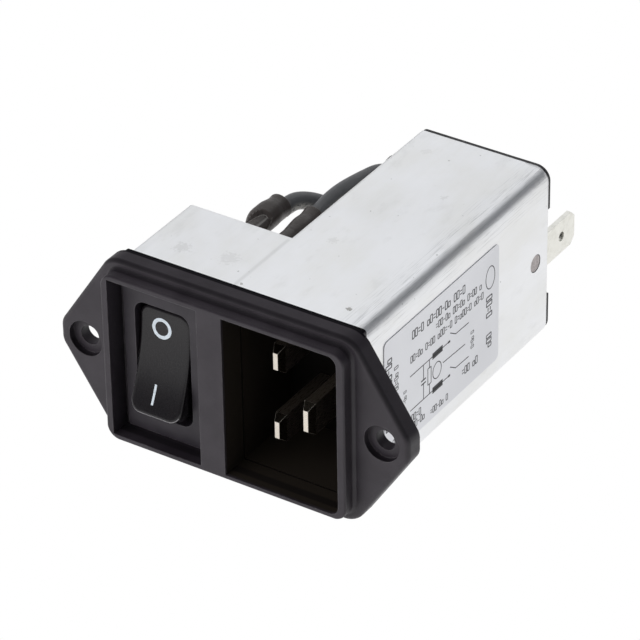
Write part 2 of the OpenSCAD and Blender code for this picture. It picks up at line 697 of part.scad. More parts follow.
module rear_cover() color([0.13, 0.13, 0.14]) {
    x0 = step_in + cover_gap;
    x1 = in_x - cover_gap;
    z1 = in_z - cover_gap;
    difference() {
        union() {
            y_bar(x0, x1, -z1, z1, cover_front, can_rear_y + eps,
                [fold_r - sheet_t, bend_r - sheet_t, bend_r - sheet_t, fold_r - sheet_t]);
            y_bar(-step_x + rim_inset, can_x - rim_inset, -can_z + rim_inset, can_z - rim_inset,
                can_rear_y, can_rear_y + rim_t, [fold_r, bend_r, bend_r, fold_r]);
            box(x0, x1, cover_front - ledge_l, cover_front + eps,
                board_z - board_gap - ledge_t, board_z - board_gap);
        }
        box(in_x - tab_t - 0.15, can_x + 1, cover_front - 3, can_rear_y + 2, -8.3, 8.3);
        box(in_x - tab_t - rivet_head_t - 0.15, can_x + 1, cover_front - 3,
            max(cover_front, can_rear_y - rivet_in + rivet_head_r) + 0.15,
            -rivet_head_r - 0.15, rivet_head_r + 0.15);
        for (s = poles)
            box(load_x + s * load_pitch / 2 - tab_t / 2 - 0.05, load_x + s * load_pitch / 2 + tab_t / 2 + 0.05,
                cover_front - 1, can_rear_y + 2, -tab_w / 2 - 0.05, tab_w / 2 + 0.05);
    }
}

// Outline of a tab in the Y-Z plane from y0 to its bevelled end
module tab_shape(y0) {
    difference() {
        polygon([[y0, -tab_w / 2], [tab_end - tab_bevel, -tab_w / 2], [tab_end, -tab_w / 2 + tab_bevel],
            [tab_end, tab_w / 2 - tab_bevel], [tab_end - tab_bevel, tab_w / 2], [y0, tab_w / 2]]);
        translate([tab_end - tab_hole_in, 0]) circle(tab_hole_d / 2);
    }
}

module earth_tab() color([0.86, 0.86, 0.84])
    translate([in_x - tab_t, 0, 0]) rotate([90, 0, 90]) linear_extrude(tab_t) difference() {
        tab_shape(can_rear_y - 8.5);
        translate([can_rear_y - rivet_in, 0]) circle(rivet_d / 2 + 0.05);
    }

module earth_rivet() color([0.7, 0.7, 0.7])
    for (q = [[in_x - tab_t - rivet_head_t, in_x - tab_t, rivet_head_r],
        [in_x - tab_t - eps, can_x - 0.08, rivet_d / 2]])
        x_rod(q[0], q[1], can_rear_y - rivet_in, 0, q[2]);

// Strap from the earth blade along the can's side wall to the earth tab
module earth_strap() color([0.8, 0.66, 0.4]) {
    strap_w = 3.4;
    box(earth_x - 1.2, in_x - 0.1, tail_back, tail_back + link_t, -strap_w / 2, strap_w / 2);
    box(in_x - 0.1 - link_t, in_x - 0.1, tail_back, can_rear_y - 8.5, -strap_w / 2, strap_w / 2);
}

module load_tab(s) color([0.86, 0.86, 0.84])
    translate([load_x + s * load_pitch / 2 - tab_t / 2, 0, 0]) rotate([90, 0, 90]) linear_extrude(tab_t) {
        tab_shape(cover_front - 4);
        polygon([[cover_front - 4, tab_w / 2], [cover_front - 4, board_top], [cover_front - 1.2, board_top],
            [cover_front - 1.2, tab_w / 2]]);
    }
module load_tab_line() load_tab(-1);
module load_tab_neutral() load_tab(1);

// ---- filter parts on the board ----

module circuit_board() color([0.28, 0.42, 0.25])
    box(step_in + 0.2, in_x - 0.2, inlet_back + 0.2, cover_front - 0.2, board_z, board_top);

module choke_core() color([0.3, 0.3, 0.29])
    difference() {
        y_rod(choke_x, choke_y - core_l / 2, choke_y + core_l / 2, choke_z, core_r);
        y_rod(choke_x, choke_y - core_l, choke_y + core_l, choke_z, core_hole_r);
    }

// Points of a winding about the core's middle: square loops with blunt corners round the
// core's section, from a leg that comes up in front of the core to a leg under its front face
winding_span = 110;
loop_blunt = 0.55;
loop_half = (core_r - core_hole_r) / 2 + winding_rise;
loop_mid = (core_r + core_hole_r) / 2;
loop = [for (q = [[1, -1, 0], [1, 1, 0], [1, 1, 1], [-1, 1, 1], [-1, 1, 0], [-1, -1, 0], [-1, -1, 1], [1, -1, 1]])
    [q[0] * (loop_half - q[2] * loop_blunt), q[1] * (winding_front - (1 - q[2]) * loop_blunt)]];
function winding_point(i) = let (
    q = loop[i % 8],
    r = loop_mid + q[0],
    f = 180 - winding_span / 2 + winding_span * i / (8 * turns - 1))
    [r * cos(f), q[1], r * sin(f)];
winding_top = winding_point(0);
winding_low = winding_point(8 * turns - 1);
winding_foot = board_top - choke_z;
winding_path = concat(
    [for (z = [winding_foot, winding_top[2] - 1.6]) [winding_top[0], -leg_front, z]],
    [[winding_top[0], -winding_front - 0.75, winding_top[2] - 0.25]],
    [for (i = [0:8 * turns - 1]) winding_point(i)],
    [for (z = [winding_foot + 0.7, winding_foot]) [winding_low[0] - 0.4, winding_low[1], z]]);

module choke_winding(turn) color([0.72, 0.4, 0.22])
    translate([choke_x, choke_y, choke_z]) mirror([turn, 0, 0]) tube(winding_path, wire_d / 2, 6);
module choke_winding_line() choke_winding(0);
module choke_winding_neutral() choke_winding(1);

// Two legs of a part, from its underside into the board
module legs(x, y, spread, z_top) {
    for (s = [-1, 1]) z_rod(x + s * spread / 2, y, board_top, z_top, leg_d / 2);
}

module line_capacitor() color([0.75, 0.68, 0.2]) {
    x = in_x - 0.9 - xcap_w / 2;
    box(x - xcap_w / 2, x + xcap_w / 2, xcap_y - xcap_l / 2, xcap_y + xcap_l / 2, board_top + 0.4, board_top + xcap_h);
    legs(x, xcap_y, xcap_w * 0.8, board_top + 0.6);
}

module earth_capacitor(x) color([0.25, 0.42, 0.62]) {
    y_rod(x, disc_y - disc_t / 2, disc_y + disc_t / 2, board_top + 1.2 + disc_d / 2, disc_d / 2);
    legs(x, disc_y, disc_d / 2, board_top + disc_d / 2);
}
module earth_capacitor_left() earth_capacitor(disc_x);
module earth_capacitor_right() earth_capacitor(disc_x + disc_pitch);

module bleed_resistor() color([0.8, 0.72, 0.58]) {
    z = board_top + resistor_d / 2 + 0.6;
    leg_in = resistor_l / 2 - 0.2;
    leg_x = resistor_l / 2 + 1.8;
    x_rod(choke_x - resistor_l / 2, choke_x + resistor_l / 2, resistor_y, z, resistor_d / 2);
    for (s = [-1, 1]) {
        x_rod(choke_x + min(s * leg_in, s * leg_x), choke_x + max(s * leg_in, s * leg_x), resistor_y, z, leg_d / 2);
        z_rod(choke_x + s * leg_x, resistor_y, board_top, z + leg_d / 2, leg_d / 2);
    }
}

// ---- jumper leads ----

// Tube along a list of points, its rings square to the route
function direction(p, i) = unit(p[min(i + 1, len(p) - 1)] - p[max(i - 1, 0)]);
function sides(p, i = 0, s = undef, out = []) = i == len(p) ? out : let (
    d = direction(p, i),
    base = s == undef ? cross(d, abs(d[2]) < 0.9 ? [0, 0, 1] : [1, 0, 0]) : s - d * (s * d),
    n = unit(base)) sides(p, i + 1, n, concat(out, [n]));

module tube(p, r, n) {
    frame_sides = sides(p);
    points = [for (i = [0:len(p) - 1]) for (k = [0:n - 1])
        p[i] + r * (cos(360 * k / n) * frame_sides[i]
            + sin(360 * k / n) * cross(direction(p, i), frame_sides[i]))];
    walls = [for (i = [0:len(p) - 2]) for (k = [0:n - 1])
        [i * n + k, i * n + (k + 1) % n, (i + 1) * n + (k + 1) % n, (i + 1) * n + k]];
    ends = [[for (k = [n - 1:-1:0]) k], [for (k = [0:n - 1]) (len(p) - 1) * n + k]];
    polyhedron(points, concat(walls, ends), convexity = 10);
}

module lead_a() color([0.2, 0.2, 0.2]) tube(lead_a, lead_d / 2, 8);
module lead_b() color([0.2, 0.2, 0.2]) tube(lead_b, lead_d / 2, 8);

module lead_sleeve(p) color([0.16, 0.16, 0.16])
    difference() {
        y_rod(p[0][0], 16.6, 16.6 + sleeve_l, p[0][2], sleeve_d / 2);
        y_rod(p[0][0], 16, 17 + sleeve_l, p[0][2], lead_d / 2 + 0.05);
    }
module lead_sleeve_a() lead_sleeve(lead_a);
module lead_sleeve_b() lead_sleeve(lead_b);

// Grommet in the can's wall where a lead goes through
module grommet(p) color([0.12, 0.12, 0.12])
    translate([-step_x + sheet_t / 2, p[entry][1], p[entry][2]]) rotate([0, 90, 0]) rotate_extrude()
        polygon([[lead_d / 2 + 0.05, -grommet_half], [grommet_d / 2 - 0.4, -grommet_half], [grommet_d / 2, -0.8],
            [grommet_d / 2, -sheet_t / 2 - 0.03], [grommet_d / 2 - 0.65, -sheet_t / 2 - 0.03],
            [grommet_d / 2 - 0.65, sheet_t / 2 + 0.03], [grommet_d / 2, sheet_t / 2 + 0.03],
            [grommet_d / 2, 0.8], [grommet_d / 2 - 0.4, grommet_half], [lead_d / 2 + 0.05, grommet_half]]);
module grommet_a() grommet(lead_a);
module grommet_b() grommet(lead_b);

// ---- assembly ----

front_bezel();
line_pin();
neutral_pin();
earth_pin();
switch_housing();
rocker();
plunger_left();
plunger_right();
plunger_spring_left();
plunger_spring_right();
contact_lever_left();
contact_lever_right();
common_terminal_left();
common_terminal_right();
load_terminal_left();
load_terminal_right();
line_link();
neutral_link();
filter_can();
rear_cover();
earth_tab();
earth_rivet();
earth_strap();
circuit_board();
choke_core();
choke_winding_line();
choke_winding_neutral();
line_capacitor();
earth_capacitor_left();
earth_capacitor_right();
bleed_resistor();
load_tab_line();
load_tab_neutral();
lead_a();
lead_b();
lead_sleeve_a();
lead_sleeve_b();
grommet_a();
grommet_b();
rating_label();
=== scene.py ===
"""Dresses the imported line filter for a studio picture.

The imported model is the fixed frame. This script gives every solid its finish, adds what the
solids leave out (legend, print on the label, smooth leads and shrunk sleeves) and sets the
camera, the lights and the floor. Every length is in metres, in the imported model's own frame,
except where a name or its description says millimetres.
"""

import json
import logging
import math
from dataclasses import dataclass
from enum import Enum
from functools import cache
from typing import Any, Callable, Iterable, Sequence

import bpy
from mathutils import Matrix, Vector

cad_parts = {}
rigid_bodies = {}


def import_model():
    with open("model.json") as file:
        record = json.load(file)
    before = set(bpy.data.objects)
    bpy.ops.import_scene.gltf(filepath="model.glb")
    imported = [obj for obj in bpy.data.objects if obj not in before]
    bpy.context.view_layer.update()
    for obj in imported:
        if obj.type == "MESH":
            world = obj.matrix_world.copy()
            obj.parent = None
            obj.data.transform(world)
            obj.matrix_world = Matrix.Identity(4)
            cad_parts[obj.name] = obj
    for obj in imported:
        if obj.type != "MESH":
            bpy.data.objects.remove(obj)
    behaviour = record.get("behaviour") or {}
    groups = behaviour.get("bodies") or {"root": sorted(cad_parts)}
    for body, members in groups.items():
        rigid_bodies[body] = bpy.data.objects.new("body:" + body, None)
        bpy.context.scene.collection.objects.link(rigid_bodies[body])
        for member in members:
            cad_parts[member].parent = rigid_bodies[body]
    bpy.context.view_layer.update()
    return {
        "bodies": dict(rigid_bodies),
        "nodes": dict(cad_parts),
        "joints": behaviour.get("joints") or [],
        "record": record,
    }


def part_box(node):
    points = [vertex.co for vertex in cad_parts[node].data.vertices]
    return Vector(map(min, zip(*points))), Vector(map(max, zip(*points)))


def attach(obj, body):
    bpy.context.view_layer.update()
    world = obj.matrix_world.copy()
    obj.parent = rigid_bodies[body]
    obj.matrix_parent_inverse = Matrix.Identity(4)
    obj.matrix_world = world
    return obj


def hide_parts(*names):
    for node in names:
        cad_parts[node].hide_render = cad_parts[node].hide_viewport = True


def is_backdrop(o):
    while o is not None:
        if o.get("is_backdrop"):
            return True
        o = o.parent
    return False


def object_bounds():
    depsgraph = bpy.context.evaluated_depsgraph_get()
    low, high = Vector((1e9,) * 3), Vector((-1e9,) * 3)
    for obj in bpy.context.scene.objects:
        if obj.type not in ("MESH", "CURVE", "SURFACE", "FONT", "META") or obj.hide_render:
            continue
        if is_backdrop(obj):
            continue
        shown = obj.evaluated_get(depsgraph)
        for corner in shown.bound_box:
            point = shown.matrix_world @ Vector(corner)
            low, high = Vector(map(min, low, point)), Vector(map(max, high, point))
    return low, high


LOG = logging.getLogger("line_filter")
MM = 0.001
# Edges that turn by more than this stay sharp.
SHARP_DEG = 35
Point = tuple[float, float, float]
Colour = tuple[float, float, float, float]


class Body(str, Enum):
    """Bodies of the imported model."""

    HOUSING = "housing"
    ROCKER = "rocker"


def linear(code: str, alpha: float = 1.0) -> Colour:
    """Turns an sRGB hex code into linear light.

    Args:
        code: six hex digits, red first.
        alpha: opacity of the result.

    Returns:
        Four numbers from 0 to 1.
    """
    parts = [int(code[i:i + 2], 16) / 255 for i in (0, 2, 4)]
    low = [p / 12.92 if p <= 0.04045 else ((p + 0.055) / 1.055) ** 2.4 for p in parts]
    return (low[0], low[1], low[2], alpha)


def metres(sizes_mm: Iterable[float]) -> list[float]:
    """Turns millimetres into metres."""
    return [size * MM for size in sizes_mm]


# ---------------------------------------------------------------- node graphs


class Kind(Enum):
    """Kinds of node, each with the settings that it is used with."""

    COORDINATES = ("ShaderNodeTexCoord", {})
    GEOMETRY = ("ShaderNodeNewGeometry", {})
    RAY = ("ShaderNodeLightPath", {})
    MAPPING = ("ShaderNodeMapping", {})
    AXES = ("ShaderNodeSeparateXYZ", {})
    NOISE = ("ShaderNodeTexNoise", {})
    WARP = ("ShaderNodeTexWave", {"bands_direction": "X"})
    WEFT = ("ShaderNodeTexWave", {"bands_direction": "Y"})
    PLUS = ("ShaderNodeMath", {"operation": "ADD"})
    MINUS = ("ShaderNodeMath", {"operation": "SUBTRACT"})
    TIMES = ("ShaderNodeMath", {"operation": "MULTIPLY"})
    LARGER = ("ShaderNodeMath", {"operation": "MAXIMUM"})
    UNSIGNED = ("ShaderNodeMath", {"operation": "ABSOLUTE"})
    DOT = ("ShaderNodeVectorMath", {"operation": "DOT_PRODUCT"})
    DISTANCE = ("ShaderNodeVectorMath", {"operation": "DISTANCE"})
    RAMP = ("ShaderNodeMapRange", {"interpolation_type": "SMOOTHSTEP"})
    BLEND = ("ShaderNodeMix", {"data_type": "RGBA"})
    BUMP = ("ShaderNodeBump", {})
    ROUNDING = ("ShaderNodeBevel", {"samples": 6})
    EDGE_NORMAL = ("ShaderNodeBevel", {"samples": 4})
    SURFACE = ("ShaderNodeBsdfPrincipled", {})
    PAPER = ("ShaderNodeBsdfDiffuse", {})
    GLOW = ("ShaderNodeEmission", {})
    SKY = ("ShaderNodeBackground", {})
    EITHER = ("ShaderNodeMixShader", {})
    MATERIAL_OUT = ("ShaderNodeOutputMaterial", {})
    WORLD_OUT = ("ShaderNodeOutputWorld", {})
    TREE_IN = ("NodeGroupInput", {})
    TREE_OUT = ("NodeGroupOutput", {})
    CURVE = ("GeometryNodeMeshToCurve", {})
    CIRCLE = ("GeometryNodeCurvePrimitiveCircle", {})
    TUBE = ("GeometryNodeCurveToMesh", {})
    SMOOTH = ("GeometryNodeSetShadeSmooth", {})
    BOX = ("GeometryNodeMeshCube", {})
    POINT_VECTOR = ("GeometryNodeInputNamedAttribute", {"data_type": "FLOAT_VECTOR"})
    ROTATION = ("FunctionNodeEulerToRotation", {})
    COPIES = ("GeometryNodeInstanceOnPoints", {})
    REAL = ("GeometryNodeRealizeInstances", {})
    PAINT = ("GeometryNodeSetMaterial", {})


class Graph:
    """A shader or geometry node tree that is filled one node at a time."""

    def __init__(self, tree: bpy.types.NodeTree) -> None:
        """Fills the given tree."""
        self.tree = tree

    def add(self, kind: Kind, *values: Any, **named: Any) -> bpy.types.Node:
        """Adds one node with its settings and its links.

        Args:
            kind: kind of the node, with its settings.
            *values: one for each visible input, in order: a constant, a socket, or a node whose
                first visible output is meant.
            **named: the same for single inputs, by name.

        Returns:
            The new node.
        """
        type_name, settings = kind.value
        node = self.tree.nodes.new(type_name)
        for name, value in settings.items():
            setattr(node, name, value)
        shown = [socket for socket in node.inputs if socket.enabled]
        for socket, value in [*zip(shown, values), *((node.inputs[n], v) for n, v in named.items())]:
            if isinstance(value, bpy.types.Node):
                value = next(output for output in value.outputs if output.enabled)
            if isinstance(value, bpy.types.NodeSocket):
                self.tree.links.new(value, socket)
            else:
                socket.default_value = value
        return node

    def place(self) -> Sequence[bpy.types.NodeSocket]:
        """X, Y and Z of the shaded point, in the piece's own coordinates."""
        return self.add(Kind.AXES, self.add(Kind.COORDINATES).outputs["Object"]).outputs

    def facing(self) -> Sequence[bpy.types.NodeSocket]:
        """X, Y and Z of the direction that the surface faces, in the piece's own coordinates."""
        return self.add(Kind.AXES, self.add(Kind.COORDINATES).outputs["Normal"]).outputs

    def cloud(self, size: float, detail: float = 2.0, rough: float = 0.5, stretch: Point = (1, 1, 1),
              turn: Point = (0, 0, 0)) -> bpy.types.Node:
        """Uneven pattern over the piece's own coordinates.

        Args:
            size: width of its features, in metres.
            detail: number of finer layers.
            rough: strength of the finer layers.
            stretch: scale along each axis, below 1 where the features are long.
            turn: turn of the pattern, in radians.

        Returns:
            The node of the pattern, from 0 to 1.
        """
        coordinates = self.add(Kind.COORDINATES).outputs["Object"]
        mapping = self.add(Kind.MAPPING, coordinates, (0, 0, 0), turn, stretch)
        return self.add(Kind.NOISE, mapping, 1 / size, detail, rough)

    def edge(self, radius: float) -> bpy.types.Node:
        """1 near convex and concave edges within radius, 0 on flat ground.

        Args:
            radius: reach of the edge, in metres.

        Returns:
            The node of the mask.
        """
        flat = self.add(Kind.GEOMETRY).outputs["Normal"]
        # Cosine of the turn between the surface and its softened edge: 1 on flat ground.
        along = self.add(Kind.DOT, self.add(Kind.EDGE_NORMAL, radius), flat)
        return self.add(Kind.RAMP, along, 0.995, 0.86)

    def all_of(self, *masks: Any) -> Any:
        """Product of masks: 1 where every one of them is 1.

        Args:
            *masks: the masks, and a number where the whole is weakened.

        Returns:
            The node of the product.
        """
        product = masks[0]
        for mask in masks[1:]:
            product = self.add(Kind.TIMES, product, mask)
        return product

    def zone(self, *borders: tuple[Any, tuple[float, float]]) -> Any:
        """Mask of a place with soft borders.

        Args:
            *borders: a value in metres for each border, and the two places in millimetres where the
                mask is still 0 and where it has come to 1.

        Returns:
            The node of the mask.
        """
        return self.all_of(*(self.add(Kind.RAMP, value, *metres(border)) for value, border in borders))

    def tint(self, base: Any, colour: str, *masks: Any) -> bpy.types.Node:
        """Lays a colour over a base, where every mask is 1.

        Args:
            base: colour below.
            colour: sRGB hex code of the colour on top.
            *masks: the masks, and a number where the whole is weakened.

        Returns:
            The node of the blended colour.
        """
        return self.add(Kind.BLEND, self.all_of(*masks), base, linear(colour))

    def relief(self, normal: bpy.types.Node, *layers: tuple[Any, float, float]) -> bpy.types.Node:
        """Lays bumps over a normal.

        Args:
            normal: node of the normal below.
            *layers: height, strength and depth in metres of each bump, the lowest first.

        Returns:
            The node of the normal on top.
        """
        for height, strength, depth in layers:
            normal = self.add(Kind.BUMP, Height=height, Strength=strength, Distance=depth, Normal=normal)
        return normal


# ------------------------------------------------------------------- finishes


@dataclass(frozen=True)
class Finish:
    """What every finish has: the record's slot, a colour and a roughness."""

    name: str
    colour: str
    roughness: float = 0.5

    def surface(self, g: Graph) -> dict[str, Any]:
        """Inputs of the surface shader. Each kind of finish adds its own pattern."""
        return {"Base Color": linear(self.colour), "Roughness": self.roughness}

    @cache
    def build(self) -> bpy.types.Material:
        """Makes the material, once for each finish.

        Returns:
            The material.
        """
        material = bpy.data.materials.new(f"finish_{self.name}")
        material.use_nodes = True
        material.node_tree.nodes.clear()
        g = Graph(material.node_tree)
        g.add(Kind.MATERIAL_OUT, g.add(Kind.SURFACE, **self.surface(g)))
        material.diffuse_color = linear(self.colour)
        return material


@dataclass(frozen=True)
class MouldedPlastic(Finish):
    """Filled thermoplastic from a spark-eroded mould: satin, and paler where it was rubbed.

    The real grain is about 0.05 mm. It is drawn coarser, so that it shows.
    """

    grain: float = 0.22 * MM
    grain_depth: float = 0.006 * MM
    edge_radius: float = 0.12 * MM
    rub: str = "464147"
    gloss: float = 0.42
    rub_amount: float = 0.5

    def surface(self, g: Graph) -> dict[str, Any]:
        """Grain, soft clouds, flecks of dust and rubbed edges.

        Args:
            g: node tree of the material.

        Returns:
            Inputs of the surface shader.
        """
        grain = g.cloud(self.grain, 3.0, 0.6)
        clouds = g.cloud(7 * MM, 3.0, 0.55)
        dust = g.add(Kind.RAMP, g.cloud(0.5 * MM, 2.0, 0.7), 0.68, 0.76)
        worn = g.add(Kind.RAMP, g.cloud(2.2 * MM, 4.0, 0.65), 0.4, 0.62)
        tone = g.add(Kind.RAMP, clouds, 0.3, 0.7, 0.0, 0.35)
        base = g.tint(linear(self.colour), self.rub, tone)
        base = g.tint(base, "0c0b0c", g.add(Kind.RAMP, clouds, 0.0, 1.0, 0.16, 0.0))
        base = g.tint(base, "8a888a", dust, 0.05)
        base = g.tint(base, "6d6b6d", g.edge(0.3 * MM), worn, self.rub_amount)
        rough = g.add(Kind.RAMP, grain, 0.2, 0.8, self.roughness - 0.05, self.roughness + 0.08)
        base, gloss, radius = self.shades(g, base)
        normal = g.relief(g.add(Kind.ROUNDING, radius), (grain, 0.8, self.grain_depth))
        return {"Base Color": base, "Roughness": rough, "Normal": normal, "Specular IOR Level": gloss}

    def shades(self, g: Graph, base: bpy.types.Node) -> tuple[Any, Any, Any]:
        """Colour, gloss and radius of the edges. A plain moulding has none of its own shades."""
        return base, self.gloss, self.edge_radius


@dataclass(frozen=True)
class FrontMoulding(MouldedPlastic):
    """The moulded front: its inlet well, cove and back seam are dull, with painted shade on them.

    Each pair holds the two ends of a shade's soft border.
    """

    well_middle_mm: float = 10.8
    well_half_width_mm: tuple[float, float] = (10.75, 10.65)
    well_half_height_mm: tuple[float, float] = (14.95, 14.85)
    well_depth_mm: tuple[float, float] = (-5.75, -5.0)
    cove_front_mm: tuple[float, float] = (-4.3, -3.9)
    cove_back_mm: tuple[float, float] = (-2.3, -2.9)
    seam_depth_mm: tuple[float, float] = (-0.6, -0.25)
    seam_height_mm: tuple[float, float] = (16.2, 16.4)

    def shades(self, g: Graph, base: bpy.types.Node) -> tuple[Any, Any, Any]:
        """Paints shade into the well, the cove and the seam, and dulls the well, the seam and every upward
        face.

        Args:
            g: node tree of the material.
            base: colour of the plain moulding.

        Returns:
            Colour, gloss and radius of the edges.
        """
        x, y, z = g.place()
        _, forward, upward = g.facing()
        height = g.add(Kind.UNSIGNED, z)
        across = g.add(Kind.UNSIGNED, g.add(Kind.MINUS, x, self.well_middle_mm * MM))
        well = g.zone((across, self.well_half_width_mm), (height, self.well_half_height_mm),
                      (y, self.well_depth_mm))
        cove = g.zone((y, self.cove_front_mm), (y, self.cove_back_mm))
        seam = g.zone((y, self.seam_depth_mm), (height, self.seam_height_mm))
        # Painted shade: the inlet well is darkened, and its faces that face forward are darker still.
        base = g.tint(base, "2e2924", well)
        base = g.tint(base, "100e0c", well, g.add(Kind.RAMP, forward, -0.5, -0.9))
        # Painted shade: a dark line along the back seam.
        base = g.tint(base, "131116", seam)
        # Painted shade in the cove, on the faces that turn upward.
        base = g.tint(base, "131114", cove, g.add(Kind.RAMP, upward, 0.1, 0.5, 0.0, 0.6))
        gloss = g.all_of(g.add(Kind.RAMP, well, 0.0, 1.0, self.gloss, 0.06),
                         g.add(Kind.RAMP, seam, 0.0, 1.0, 1.0, 0.15),
                         g.add(Kind.RAMP, upward, 0.1, 0.9, 1.0, 0.25))
        return base, gloss, g.add(Kind.RAMP, well, 0.0, 1.0, self.edge_radius, 0.001 * MM)


@dataclass(frozen=True)
class Scuff:
    """A dark scuff on the can's top: its place, its width and its strength."""

    x_mm: float
    y_mm: float
    wide_mm: float
    strength: float


@dataclass(frozen=True)
class BentSheet(Finish):
    """Bright sheet steel, cut and bent: drawn streaks along its length, smears and handling marks.

    Real drawn lines are a few hundredths of a millimetre apart. They are drawn coarser, so that
    they show.
    """

    smeared: str = "e8e8e5"
    streak: float = 0.35 * MM
    scuffs: tuple[Scuff, ...] = ()
    top_mm: float = 16.1
    # Sum of x and z between which the skin is pulled more and more, up to the long bend.
    bend_mm: tuple[float, float] = (32.0, 35.6)
    # Place of the crease, its soft border, and the soft borders of the top and of its rear end.
    crease_x_mm: float = -2.3
    crease_side_mm: tuple[float, float] = (0.6, 0.05)
    crease_top_mm: tuple[float, float] = (15.9, 16.0)
    crease_rear_mm: tuple[float, float] = (18.0, 17.0)

    def surface(self, g: Graph) -> dict[str, Any]:
        """Streaks, smears, specks, scuffs, a crease with painted shade in it, and darker drawn streaks and
        pulled skin along the long bend.

        Args:
            g: node tree of the material.

        Returns:
            Inputs of the surface shader.
        """
        x, y, z = g.place()
        streaks = g.cloud(self.streak, 4.0, 0.65, (1, 0.035, 1))
        lines = g.cloud(0.12 * MM, 3.0, 0.7, (1, 0.012, 1))
        smear = g.cloud(9 * MM, 4.0, 0.6, (1, 0.6, 1))
        patch = g.cloud(3 * MM, 3.0, 0.6, (1, 0.5, 1), (0.2, 0.4, 0.9))
        drawn = g.cloud(0.22 * MM, 3.0, 0.7, (1, 0.03, 1))
        specks = g.add(Kind.RAMP, g.cloud(1.1 * MM, 1.0, 0.4), 0.775, 0.81)
        crease = self.crease(g, x, y, z)
        near_bend = g.zone((g.add(Kind.PLUS, x, z), self.bend_mm))
        tone = g.add(Kind.RAMP, smear, 0.35, 0.7, 0.0, 0.55)
        base = g.tint(linear(self.colour), self.smeared, tone)
        base = g.tint(base, "a9a9a6", g.add(Kind.RAMP, patch, 0.56, 0.74), 0.1)
        # Painted shade along the crease.
        base = g.tint(base, "8f8f8c", crease, 0.2)
        base = g.tint(base, "6f6e6a", specks, 0.35)
        for scuff in self.scuffs:
            base = g.tint(base, "5c5748", self.scuffed(g, scuff), scuff.strength)
        # Darker drawn streaks towards the long bend.
        base = g.tint(base, "7f8184", near_bend, g.add(Kind.RAMP, drawn, 0.5, 0.68, 0.0, 0.3))
        rough = g.add(Kind.RAMP, smear, 0.2, 0.8, self.roughness - 0.03, self.roughness + 0.04)
        rough = g.add(Kind.PLUS, rough, g.add(Kind.RAMP, streaks, 0.3, 0.7, -0.04, 0.05))
        rough = g.add(Kind.PLUS, rough, g.add(Kind.RAMP, near_bend, 0.5, 1.0, 0.0, 0.05))
        rounding = g.add(Kind.ROUNDING, g.add(Kind.RAMP, near_bend, 0.3, 0.9, 0.12 * MM, 1.1 * MM))
        pull = g.all_of(drawn, g.add(Kind.RAMP, near_bend, 0.0, 1.0, 0.12, 1.0))
        normal = g.relief(rounding, (streaks, 0.35, 0.01 * MM), (lines, 0.3, 0.004 * MM),
                          (pull, 0.75, 0.022 * MM), (patch, 0.15, 0.02 * MM), (crease, 0.4, 0.02 * MM))
        return {"Base Color": base, "Metallic": 1.0, "Roughness": rough, "Normal": normal, "Anisotropic": 0.3}

    def crease(self, g: Graph, x: Any, y: Any, z: Any) -> bpy.types.Node:
        """Shallow crease in the top, from the front to where the notch begins.

        Args:
            g: node tree of the material.
            x: place across the can.
            y: place along the can.
            z: height.

        Returns:
            The node of the mask.
        """
        aside = g.add(Kind.UNSIGNED, g.add(Kind.MINUS, x, self.crease_x_mm * MM))
        return g.zone((aside, self.crease_side_mm), (z, self.crease_top_mm), (y, self.crease_rear_mm))

    def scuffed(self, g: Graph, scuff: Scuff) -> bpy.types.Node:
        """Ragged mask of one scuff.

        Args:
            g: node tree of the material.
            scuff: the scuff.

        Returns:
            The node of the mask.
        """
        wide = scuff.wide_mm * MM
        coordinates = g.add(Kind.COORDINATES).outputs["Object"]
        middle = metres((scuff.x_mm, scuff.y_mm, self.top_mm))
        ragged = g.add(Kind.RAMP, g.cloud(0.5 * MM, 3.0, 0.6), 0.2, 0.8, -0.4 * wide, 0.4 * wide)
        away = g.add(Kind.PLUS, g.add(Kind.DISTANCE, coordinates, middle), ragged)
        return g.add(Kind.RAMP, away, 0.35 * wide, 0.6 * wide, 1.0, 0.0)


@dataclass(frozen=True)
class PlatedMetal(Finish):
    """Stamped metal, plated: fine drawn lines, a faint stain and a rounded edge."""

    streak: Point = (1, 0.1, 1)
    edge_colour: str = "b9b2a4"
    metal: float = 1.0
    blotch: float = 1.5 * MM

    def surface(self, g: Graph) -> dict[str, Any]:
        """Drawn lines and a stain.

        Args:
            g: node tree of the material.

        Returns:
            Inputs of the surface shader.
        """
        lines = g.cloud(0.12 * MM, 3.0, 0.6, self.streak)
        stain = g.add(Kind.RAMP, g.cloud(self.blotch, 3.0, 0.6), 0.4, 0.75, 0.0, 0.5)
        base = g.tint(linear(self.colour), self.edge_colour, stain)
        base, metal = self.body(g, base)
        rough = g.add(Kind.RAMP, lines, 0.3, 0.7, self.roughness - 0.06, self.roughness + 0.08)
        normal = g.relief(g.add(Kind.ROUNDING, 0.08 * MM), (lines, 0.4, 0.004 * MM))
        return {"Base Color": base, "Metallic": metal, "Roughness": rough, "Normal": normal}

    def body(self, g: Graph, base: bpy.types.Node) -> tuple[Any, Any]:
        """Colour and metal of the part behind the tip. Plain stampings are alike all over."""
        return base, self.metal


